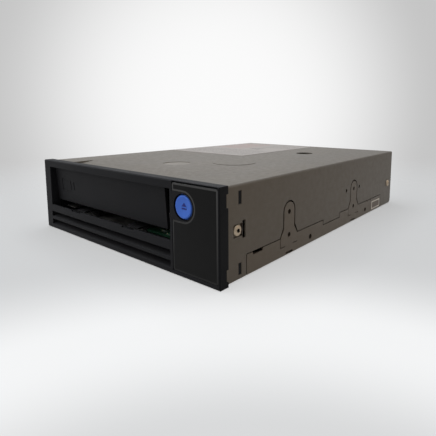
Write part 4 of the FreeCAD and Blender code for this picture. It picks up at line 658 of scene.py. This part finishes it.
# name, colour, roughness, width and length of the tool marks in mm
bright_metal("deck_metal", (0.55, 0.55, 0.54), 0.42, 0.5, 6.0, cast=0.7)
bright_metal("bright_steel", (0.62, 0.60, 0.57), 0.28, 0.15, 8.0)
bright_metal("screw_steel", (0.42, 0.34, 0.25), 0.42, 0.12, 0.8)
bright_metal("spring_steel", (0.80, 0.80, 0.78), 0.25, 0.06, 2.0, metal=0.6)
bright_metal("can_metal", (0.66, 0.66, 0.66), 0.24, 0.10, 3.0)
bright_metal("roller_metal", (0.60, 0.60, 0.60), 0.18, 0.8, 0.08)
bright_metal("contact_gold", (0.78, 0.56, 0.22), 0.22, 0.08, 1.0)
print("metal finishes:", len(FINISHES))

# %% [markdown]
# ### Circuit boards
# A board is glass laminate under green solder mask.  The copper below shows as slightly paler
# tracks, which turn at right angles, and small round vias are spread between them.  Real tracks
# follow a drawing, but seen through a slot only their rhythm counts, so the borders of a
# square-cornered Voronoi pattern stand in for them.

# %% Solder-masked board
TRACK_SCALE, TRACK_WIDTH = 260.0, 0.09
VIA_SCALE, VIA_RADIUS = 420.0, 0.16
tree, shader = new_look("board_green", Coat_Weight=0.4, Coat_Roughness=0.25)
place = object_place(tree)
lanes = put(tree, "ShaderNodeTexVoronoi", {"distance": "CHEBYCHEV", "feature": "DISTANCE_TO_EDGE"},
            Vector=place, Scale=TRACK_SCALE, Randomness=0.85)
tracks = calc(tree, "LESS_THAN", lanes.outputs["Distance"], TRACK_WIDTH)
cells = put(tree, "ShaderNodeTexVoronoi", Vector=place, Scale=VIA_SCALE, Randomness=1.0)
vias = calc(tree, "LESS_THAN", cells.outputs["Distance"], VIA_RADIUS)
patch = masked(tree, soft_patches, Size=14.0)
# The greens are darker than a bare board's: painted shade for the dim inside of the drive.
shaded_mask_green = tinted(tree, patch, (0.005, 0.034, 0.017), (0.007, 0.046, 0.022))
tracked = tinted(tree, scaled(tree, tracks, 0.6), shaded_mask_green, (0.013, 0.080, 0.036))
dress(tree, shader, calc(tree, "ADD", tracks, vias), 0.03,
      Base_Color=tinted(tree, vias, tracked, (0.45, 0.40, 0.22)),
      Roughness=graded(tree, patch, 0.30, 0.40), Metallic=scaled(tree, vias, 0.8))
print("board finish is ready")

# %% [markdown]
# ### Clear, dark and amber small parts
# The light guide is clear plastic, so most of its light passes through.  The head bar is polished
# ceramic with fine rows of read and write elements, and the flat cable is amber film with copper
# strips inside.  Rows and strips repeat evenly, and a sine of one coordinate is the plainest way
# to rule them.

# %% Light guide
tree, shader = new_look("lamp_clear", Transmission_Weight=0.75, IOR=1.49, Metallic=0.0)
patch = masked(tree, soft_patches, Size=2.5)
dress(tree, shader, effect(tree, moulded_grain, Pitch=0.2)["Height"], 0.01,
      Base_Color=tinted(tree, patch, (0.80, 0.83, 0.80), (0.88, 0.90, 0.88)),
      Roughness=graded(tree, patch, 0.10, 0.22))
print("light guide finish is ready")


# %% Head ceramic
def ruled(tree, axis, pitch, low, high):
    """1 on strips that repeat every pitch metres along one axis; low and high set their width."""
    turns = scaled(tree, object_axes(tree)[axis], 2.0 * math.pi / pitch)
    return spread(tree, calc(tree, "SINE", turns), low, high)


tree, shader = new_look("head_dark", Coat_Roughness=0.08)
stripe = ruled(tree, "Z", 0.6981 * MM, 0.55, 0.75)
patch = masked(tree, soft_patches, Size=4.0)
body = tinted(tree, patch, (0.070, 0.064, 0.058), (0.090, 0.084, 0.078))
dress(tree, shader, stripe, 0.01, Base_Color=tinted(tree, stripe, body, (0.15, 0.13, 0.11)),
      Roughness=graded(tree, patch, 0.12, 0.22),
      Coat_Weight=graded(tree, stripe, 0.6, 0.2))
print("head finish is ready")

# %% Flat cable
tree, shader = new_look("flex_amber", Transmission_Weight=0.0)
copper = ruled(tree, "X", 1.0 * MM, 0.0, 0.25)
patch = masked(tree, soft_patches, Size=6.0)
film = tinted(tree, patch, (0.42, 0.18, 0.035), (0.50, 0.23, 0.05))
dress(tree, shader, copper, 0.03, Base_Color=tinted(tree, copper, film, (0.62, 0.30, 0.12)),
      Roughness=graded(tree, copper, 0.30, 0.22), Metallic=scaled(tree, copper, 0.5))
print("small finishes are ready:", len(FINISHES))

# %% [markdown]
# ### Printed paper
# The top carries a large paper label and the side a small one.  They are left without words: the
# fields, ruled rows and bars only show where such data would be printed.  Everything is measured
# from the label's own edges, so the print stays on the paper.

# %% Ruled print as a shared effect
print_rows, given, result = new_group(
    "print_rows", {"U": 0.0, "V": 0.0, "Pitch": 2.4, "Dash": 0.9, "Fill": 0.5}, ("Mask",))
ROW_STRIDE = 7.31
line_count = calc(print_rows, "DIVIDE", given["V"], given["Pitch"])
row = calc(print_rows, "FLOOR", line_count)
inside = calc(print_rows, "COMPARE", calc(print_rows, "SUBTRACT", line_count, row), 0.5, 0.22)
dash_place = put(print_rows, "ShaderNodeCombineXYZ", Y=scaled(print_rows, row, ROW_STRIDE),
                 X=calc(print_rows, "DIVIDE", given["U"], given["Dash"]))
dash = put(print_rows, "ShaderNodeTexNoise", {"noise_dimensions": "2D"},
           Vector=dash_place.outputs["Vector"], Scale=1.0, Detail=1.0)
cut_off = spread(print_rows, given["Fill"], 0.0, 1.0, 0.70, 0.30)
inked = calc(print_rows, "GREATER_THAN", dash.outputs["Fac"], cut_off)
feed(print_rows, result["Mask"], scaled(print_rows, inside, inked))
print("group:", print_rows.name)


# %% Boxes and frames on a label
def between(tree, value, low, high):
    """1 where value lies between low and high, and otherwise 0."""
    return calc(tree, "COMPARE", value, (low + high) / 2, (high - low) / 2)


def field(tree, spot, left, right, foot, head):
    """1 in a box on the label, given in millimetres from its lower left corner."""
    return scaled(tree, between(tree, spot[0], left, right), between(tree, spot[1], foot, head))


def frame_line(tree, spot, left, right, foot, head, line=0.35):
    """1 on the thin outline of such a box."""
    hole = field(tree, spot, left + line, right - line, foot + line, head - line)
    return calc(tree, "SUBTRACT", field(tree, spot, left, right, foot, head), hole)


def label_place(tree, node, axes):
    """Where a point lies on a label along two axes of the drive, and the label's size, in mm."""
    low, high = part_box(node)
    place = object_axes(tree)
    numbers = ["XYZ".index(axis) for axis in axes]
    spot = [calc(tree, "DIVIDE", calc(tree, "SUBTRACT", place[axis], low[number]), MM)
            for axis, number in zip(axes, numbers)]
    return spot, *[(high[number] - low[number]) / MM for number in numbers]


def paper(name, colour):
    """The paper of a label, before anything is printed on it; returns its colour last."""
    tree, shader = new_look(name, Specular_IOR_Level=0.3)
    patch = masked(tree, soft_patches, Size=15.0)
    pulp = effect(tree, moulded_grain, Pitch=0.35)
    rubbed = masked(tree, edge_rub, Width=0.25, Breaks=3.0)
    settled = masked(tree, dust_film, Speck=0.4)
    plain = tinted(tree, patch, shade(colour, 0.95), shade(colour, 1.03))
    fibre = tinted(tree, scaled(tree, pulp["Fleck"], 0.25), plain, shade(colour, 0.85))
    aged = tinted(tree, scaled(tree, rubbed, 0.4), fibre, shade(colour, 0.7))
    dress(tree, shader, pulp["Height"], 0.012, Roughness=graded(tree, patch, 0.50, 0.62))
    return tree, shader, tinted(tree, scaled(tree, settled, 0.3), aged, (0.42, 0.40, 0.38))


print("label helpers are ready")

# %% The label on top
INK, RED_INK = (0.10, 0.09, 0.09), (0.38, 0.13, 0.12)
tree, shader, page = paper("label_paper", (0.366, 0.330, 0.307))
spot, wide, tall = label_place(tree, "top_label", "XY")
u, v = spot
rows = masked(tree, print_rows, U=u, V=v, Pitch=2.6, Dash=0.8, Fill=0.62)
rows_small = masked(tree, print_rows, U=u, V=v, Pitch=1.7, Dash=0.5, Fill=0.55)
bars = masked(tree, print_rows, U=v, V=u, Pitch=30.0, Dash=0.45, Fill=0.55)
for print_mask, box, colour, strength in (
        (rows, (4, wide - 4, 6, 40), INK, 0.62),
        (rows_small, (4, wide / 2 - 2, 48, tall - 8), RED_INK, 0.6),
        (rows_small, (wide / 2 + 3, wide - 5, 66, tall - 8), INK, 0.6),
        (bars, (wide / 2 + 5, wide - 7, 48, 60), INK, 0.8)):
    mask = scaled(tree, print_mask, field(tree, spot, *box))
    page = tinted(tree, scaled(tree, mask, strength), page, colour)
for box in ((2, wide - 2, 3, tall - 3), (2, wide - 2, 43, tall - 3), (2, wide / 2, 43, tall - 3)):
    page = tinted(tree, scaled(tree, frame_line(tree, spot, *box), 0.55), page, INK)
feed(tree, shader.inputs["Base Color"], page)
print("top label is", round(wide), "by", round(tall), "mm")

# %% The label on the side
tree, shader, page = paper("sticker_paper", (0.84, 0.78, 0.70))
spot, wide, tall = label_place(tree, "side_label", "YZ")
bars = masked(tree, print_rows, U=spot[0], V=spot[1], Pitch=30.0, Dash=0.28, Fill=0.55)
for mask, colour in (
        (field(tree, spot, 1.15, wide - 1.15, 1.0, tall - 1.0), (0.20, 0.165, 0.135)),
        (scaled(tree, bars, field(tree, spot, 1.6, wide - 1.6, 2.2, 4.6)), (0.08, 0.066, 0.055))):
    page = tinted(tree, mask, page, colour)
feed(tree, shader.inputs["Base Color"], page)
print("side label is", round(wide, 1), "by", round(tall, 1), "mm")

# %% [markdown]
# ## Every part gets its finish
# The record names a finish for each part.  The part keeps its shape, and only what fills its
# material slots changes.

# %% Hand out the finishes
SLOT_OF = {entry["node"]: entry["material_slot"] for entry in frame["record"]["subparts"]}
for name, part in frame["nodes"].items():
    for holder in part.material_slots:
        holder.material = FINISHES[SLOT_OF[name]]
print(len(SLOT_OF), "parts share", len(set(SLOT_OF.values())), "finishes")

# %% [markdown]
# ## Softened edges
# No moulded or punched edge is perfectly sharp.  A part that is seen from close by is copied, its
# triangles are joined into flat faces again, and a Bevel modifier rounds what is left of its
# edges by a fraction of a millimetre.  That gives the thin highlights that tell the eye how large
# the piece is.  The cover gets the smallest rounding, because its cuts leave webs of a tenth of a
# millimetre that a wider one would tear.

# %% A copy of a part with rounded edges
MERGE_DISTANCE = 0.002 * MM
CORNER_ANGLE = math.radians(32.0)


def merged_part(shape, node):
    """Fills a bmesh with a part's mesh, with its loose triangles sewn together."""
    shape.from_mesh(frame["nodes"][node].data)
    bmesh.ops.remove_doubles(shape, verts=shape.verts, dist=MERGE_DISTANCE)


def smooth_rounds(shape):
    """Shades curved faces smoothly and keeps real corners sharp."""
    for face in shape.faces:
        face.smooth = True
    for edge in shape.edges:
        edge.smooth = edge.is_manifold and edge.calc_face_angle(0.0) < CORNER_ANGLE


def new_piece(name, finish, body, mesh_builder, *arguments):
    """Builds a piece and gives it its material and the body it moves with."""
    piece = new_mesh_object(name, mesh_builder, *arguments)
    piece.data.materials.clear()
    piece.data.materials.append(FINISHES[finish])
    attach(piece, body)
    print(name, "has", len(piece.data.polygons), "faces")
    return piece


def build_softened(shape, node):
    merged_part(shape, node)
    bmesh.ops.dissolve_limit(shape, angle_limit=math.radians(0.6), verts=shape.verts,
                             edges=shape.edges)
    smooth_rounds(shape)


def softened(name, node, body, width_mm):
    piece = new_piece(name, SLOT_OF[node], body, build_softened, node)
    rounding = piece.modifiers.new("rounding", "BEVEL")
    rounding.width = width_mm * MM
    rounding.segments = 2
    rounding.limit_method = "ANGLE"
    rounding.angle_limit = CORNER_ANGLE
    rounding.harden_normals = True
    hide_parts(node)


# %% Bezel, door and sheet metal
softened("bezel_moulding", "front_bezel", "chassis", 0.16)
softened("door_flap", "cartridge_door", "door", 0.14)
softened("overlay_film", "panel_overlay", "chassis", 0.10)
softened("cover_shell", "top_cover", "chassis", 0.04)
softened("base_tray", "base_chassis", "chassis", 0.08)

# %% [markdown]
# ## Unload button
# The button is a round cap with a soft rim and a shallow dish for the fingertip.  It is a turned
# shape, so one half of its outline is drawn and spun round its axis.  A triangle over a bar, the
# usual sign for taking a medium out, stands in the dish.

# %% Spin an outline into a solid
def spun(shape, outline):
    """Turns (radius, height) points, in millimetres, round the z axis."""
    points = [shape.verts.new((radius * MM, 0.0, height * MM)) for radius, height in outline]
    edges = [shape.edges.new(pair) for pair in zip(points, points[1:])]
    bmesh.ops.spin(shape, geom=points + edges, cent=(0, 0, 0), axis=(0, 0, 1),
                   angle=math.radians(360.0), steps=64, use_merge=True)
    bmesh.ops.remove_doubles(shape, verts=shape.verts, dist=MERGE_DISTANCE / 4)
    bmesh.ops.recalc_face_normals(shape, faces=shape.faces)


def turned_to_front(shape, x, y, z):
    """Points +z of a piece at the viewer in front of the drive and moves it to a place."""
    bmesh.ops.rotate(shape, verts=shape.verts, cent=(0, 0, 0),
                     matrix=Matrix.Rotation(math.radians(90.0), 3, "X"))
    bmesh.ops.translate(shape, verts=shape.verts, vec=(x, y, z))


button_low, button_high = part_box("unload_button")
BUTTON_CENTRE = (button_low + button_high) / 2
FLANGE_WIDTH = 1.35
flange_radius = (button_high.x - button_low.x) / 2 / MM
cap_radius = flange_radius - FLANGE_WIDTH
DISH = [(0.0, -0.30), (2.1, -0.27), (3.2, -0.18), (4.05, -0.04)]
RIM = [(4.35, 0.0), (4.65, -0.02), (4.88, -0.10), (5.05, -0.24), (5.12, -0.42)]
SKIRT = [(cap_radius, -0.65), (cap_radius, -2.7), (flange_radius, -2.7), (flange_radius, -3.7)]
STEM = [(2.0, -3.7), (2.0, -4.3), (0.0, -4.3)]


def build_button(shape):
    spun(shape, DISH + RIM + SKIRT + STEM)
    turned_to_front(shape, BUTTON_CENTRE.x, button_low.y, BUTTON_CENTRE.z)
    smooth_rounds(shape)


button = new_piece("unload_button_cap", "button_blue", "button", build_button)
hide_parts("unload_button")

# %% The paint of the sign
tree, shader = new_look("sign_blue", Specular_IOR_Level=0.4)
patch = masked(tree, soft_patches, Size=2.0)
dress(tree, shader, effect(tree, moulded_grain, Pitch=0.25)["Height"], 0.012,
      Base_Color=tinted(tree, patch, (0.006, 0.014, 0.20), (0.009, 0.020, 0.25)),
      Roughness=graded(tree, patch, 0.42, 0.52))
print("sign paint is ready")

# %% The sign in the button
TRIANGLE_RADIUS, TRIANGLE_SQUAT, TRIANGLE_UP = 1.75, 0.66, 0.55
BAR_SIZE, BAR_DOWN = (3.0, 0.60), 0.95
SIGN_RISE, SIGN_SINK = 0.14, 0.34
SIGN_SHIFT = (0.4, 0.3)


def build_sign(shape):
    triangle = bmesh.ops.create_circle(shape, cap_ends=True, segments=3,
                                       radius=TRIANGLE_RADIUS * MM)["verts"]
    bmesh.ops.scale(shape, verts=triangle, vec=(1.0, TRIANGLE_SQUAT, 1.0))
    bmesh.ops.translate(shape, verts=triangle, vec=(0, TRIANGLE_UP * MM, 0))
    bar = bmesh.ops.create_grid(shape, x_segments=1, y_segments=1, size=0.5 * MM)["verts"]
    bmesh.ops.scale(shape, verts=bar, vec=(*BAR_SIZE, 1.0))
    bmesh.ops.translate(shape, verts=bar, vec=(0, -BAR_DOWN * MM, 0))
    faces = bmesh.ops.extrude_face_region(shape, geom=shape.faces[:])["geom"]
    raised = [item for item in faces if isinstance(item, bmesh.types.BMVert)]
    bmesh.ops.translate(shape, verts=raised, vec=(0, 0, SIGN_RISE * MM))
    bmesh.ops.recalc_face_normals(shape, faces=shape.faces)
    turned_to_front(shape, BUTTON_CENTRE.x + SIGN_SHIFT[0] * MM, button_low.y + SIGN_SINK * MM,
                    BUTTON_CENTRE.z + SIGN_SHIFT[1] * MM)


sign = new_piece("unload_sign", "sign_blue", "button", build_sign)

# %% [markdown]
# ## Screws
# The screws are pan heads with a six-lobed recess.  Such a head is easiest to build like a pot:
# a ring of edges is extruded again and again, each time scaled and moved, from the lobes at the
# bottom of the recess, up over the rim and down to the tip of the shank.

# %% Grow one ring of edges from another
def ring_of(shape, segments, radius, height):
    """A flat ring of vertices round the z axis, in mm; returns them and their edges."""
    verts = bmesh.ops.create_circle(shape, segments=segments, radius=radius * MM)["verts"]
    bmesh.ops.translate(shape, verts=verts, vec=(0, 0, height * MM))
    return verts, list({edge for vert in verts for edge in vert.link_edges})


def grow(shape, ring, scale, rise):
    """Extrudes a ring of edges, scales the new ring about the z axis and lifts it, in mm."""
    made = bmesh.ops.extrude_edge_only(shape, edges=ring)["geom"]
    verts = [item for item in made if isinstance(item, bmesh.types.BMVert)]
    bmesh.ops.scale(shape, verts=verts, vec=(scale, scale, 1.0))
    bmesh.ops.translate(shape, verts=verts, vec=(0, 0, rise * MM))
    return [item for item in made if isinstance(item, bmesh.types.BMEdge)
            and all(vert in verts for vert in item.verts)]


print("ring helpers are ready")

# %% One screw, in shares of its head's radius and height
LOBE_SHARE, LOBE_DIP = 0.42, 0.76
RECESS_TAPER, RECESS_DEPTH = 0.90, 0.4
RIM_SHARE = 0.60
HEAD_RINGS = ((1.35, 0.10), (1.14, 0.20), (1.08, 0.30), (1.0, 0.40))
TIP_TAPER, TIP_SHARE = 0.7, 0.15


def build_screw(shape, radius, tall, shank, reach):
    """One screw at the origin, its seat at z = 0 and its head towards +z, in millimetres."""
    lobes, recess = ring_of(shape, 12, radius * LOBE_SHARE, tall)
    bmesh.ops.scale(shape, verts=lobes[::2], vec=(LOBE_DIP, LOBE_DIP, 1.0))
    bmesh.ops.contextual_create(shape, geom=grow(shape, recess, RECESS_TAPER, -tall * RECESS_DEPTH))
    ring = ring_of(shape, 24, radius * RIM_SHARE, tall)[1]
    bmesh.ops.bridge_loops(shape, edges=recess + ring)
    for scale, drop in HEAD_RINGS:
        ring = grow(shape, ring, scale, -drop * tall)
    head_share = RIM_SHARE * math.prod(scale for scale, _ in HEAD_RINGS)
    for scale, drop in ((shank / (radius * head_share), 0.0), (1.0, 1.0 - TIP_SHARE),
                        (TIP_TAPER, TIP_SHARE)):
        ring = grow(shape, ring, scale, -drop * reach)
    bmesh.ops.contextual_create(shape, geom=ring)
    bmesh.ops.recalc_face_normals(shape, faces=shape.faces)


print("a screw grows through", len(HEAD_RINGS) + 3, "rings")


# %% The solids inside one part
def islands(node):
    """The (lowest, highest) corners of each separate solid of a part, sorted by place."""
    shape = bmesh.new()
    merged_part(shape, node)
    waiting, boxes = set(shape.verts), []
    while waiting:
        front, solid = [waiting.pop()], []
        while front:
            vert = front.pop()
            solid.append(vert.co.copy())
            for edge in vert.link_edges:
                other = edge.other_vert(vert)
                if other in waiting:
                    waiting.discard(other)
                    front.append(other)
        boxes.append((Vector(map(min, zip(*solid))), Vector(map(max, zip(*solid)))))
    shape.free()
    return sorted(boxes, key=lambda pair: tuple(round(v, 5) for v in pair[0]))


print("cover screws:", len(islands("cover_screws")))

# %% Place a screw in each screw hole
HEAD_FIT, SHANK_SHARE = 0.995, 0.55


def build_screws(shape, node, axis_of, head_tall):
    for low, high in islands(node):
        single = bmesh.new()
        axis = Vector(axis_of(low, high))
        span = (high - low) / MM
        along = [abs(c) for c in axis].index(1)
        radius = min(span[i] for i in range(3) if i != along) / 2
        build_screw(single, radius * HEAD_FIT, head_tall, radius * SHANK_SHARE,
                    span[along] - head_tall)
        bmesh.ops.rotate(single, verts=single.verts, cent=(0, 0, 0),
                         matrix=Vector((0, 0, 1)).rotation_difference(axis).to_matrix())
        seat = (low + high) / 2
        seat[along] = high[along] if axis[along] > 0 else low[along]
        bmesh.ops.translate(single, verts=single.verts, vec=seat - axis * head_tall * MM)
        smooth_rounds(single)
        mesh = bpy.data.meshes.new("one_screw")
        single.to_mesh(mesh)
        single.free()
        shape.from_mesh(mesh)
        bpy.data.meshes.remove(mesh)


def sideways(low, high):
    return (1, 0, 0) if low.x > 0 else (-1, 0, 0)


def upwards_or_back(low, high):
    return (0, 1, 0) if high.y < DATUM_Y + 6 * MM else (0, 0, 1)


for name, node, axis_of, tall in (("cover_screw_set", "cover_screws", sideways, 1.0),
                                  ("deck_screw_set", "deck_screws", upwards_or_back, 0.9),
                                  ("board_screw_set", "board_screws", upwards_or_back, 1.0)):
    screws = new_piece(name, "screw_steel", "chassis", build_screws, node, axis_of, tall)
    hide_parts(node)

# %% [markdown]
# ## Contacts and chip legs
# The rear connector has a row of gold contacts on both sides of its tongue, and each chip on the
# main board stands on a comb of legs.  One contact or leg is a small cube, stretched and moved,
# and a loop sets the rest beside it.

# %% A helper for small bars
def add_bar(shape, low, high, soften=0.0):
    """A block from low to high, its edges bevelled by soften millimetres."""
    made = bmesh.ops.create_cube(shape, size=1.0)["verts"]
    low, high = Vector(low), Vector(high)
    bmesh.ops.scale(shape, verts=made, vec=high - low)
    bmesh.ops.translate(shape, verts=made, vec=(low + high) / 2)
    if soften:
        edges = list({edge for vert in made for edge in vert.link_edges})
        bmesh.ops.bevel(shape, geom=edges, affect="EDGES", offset=soften * MM, segments=2,
                        profile=0.5, material=-1)


# %% Gold contacts of the data connector
CONTACT_PITCH, CONTACT_COUNT, CONTACT_HALF = 1.27 * MM, 29, 0.35 * MM
CONTACT_FROM, CONTACT_TO = 5.3 * MM, 1.1 * MM
TONGUE_FACE, CONTACT_FACE = 0.62 * MM, 0.70 * MM
port_low, port_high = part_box("data_connector")
TONGUE_Z = (port_low.z + port_high.z) / 2


def build_contacts(shape):
    first = -CONTACT_PITCH * (CONTACT_COUNT - 1) / 2
    for number in range(CONTACT_COUNT):
        x = first + number * CONTACT_PITCH
        for side in (-1, 1):
            z0, z1 = sorted((TONGUE_Z + side * TONGUE_FACE, TONGUE_Z + side * CONTACT_FACE))
            add_bar(shape, (x - CONTACT_HALF, port_high.y - CONTACT_FROM, z0),
                    (x + CONTACT_HALF, port_high.y - CONTACT_TO, z1), 0.02)


contacts = new_piece("data_contacts", "contact_gold", "chassis", build_contacts)

# %% Legs of the chips
LEG_PITCH, LEG_HALF, LEG_THICK = 1.3 * MM, 0.22 * MM, 0.12 * MM
LEG_REACH, LEG_UPRIGHT = 1.1 * MM, 0.35


def add_leg(shape, axis, spot, side, out, foot, top):
    """One leg at spot along an axis: a sole on the board and an upright against the chip."""
    for reach, head in ((1.0, foot + LEG_THICK), (LEG_UPRIGHT, top)):
        low, high = [foot] * 3, [head] * 3
        low[axis], high[axis] = spot - LEG_HALF, spot + LEG_HALF
        low[1 - axis], high[1 - axis] = sorted((side, side + out * reach))
        add_bar(shape, low, high)


def build_legs(shape):
    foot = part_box("main_board")[1].z
    for low, high in islands("board_chips"):
        top = foot + (high.z - foot) * 0.5
        count = int((high.x - low.x) / LEG_PITCH)
        for number in range(count):
            for axis in (0, 1):
                spot = low[axis] + (high[axis] - low[axis]) * (number + 0.5) / count
                add_leg(shape, axis, spot, low[1 - axis], -LEG_REACH, foot, top)
                add_leg(shape, axis, spot, high[1 - axis], LEG_REACH, foot, top)


new_piece("chip_legs", "can_metal", "chassis", build_legs)
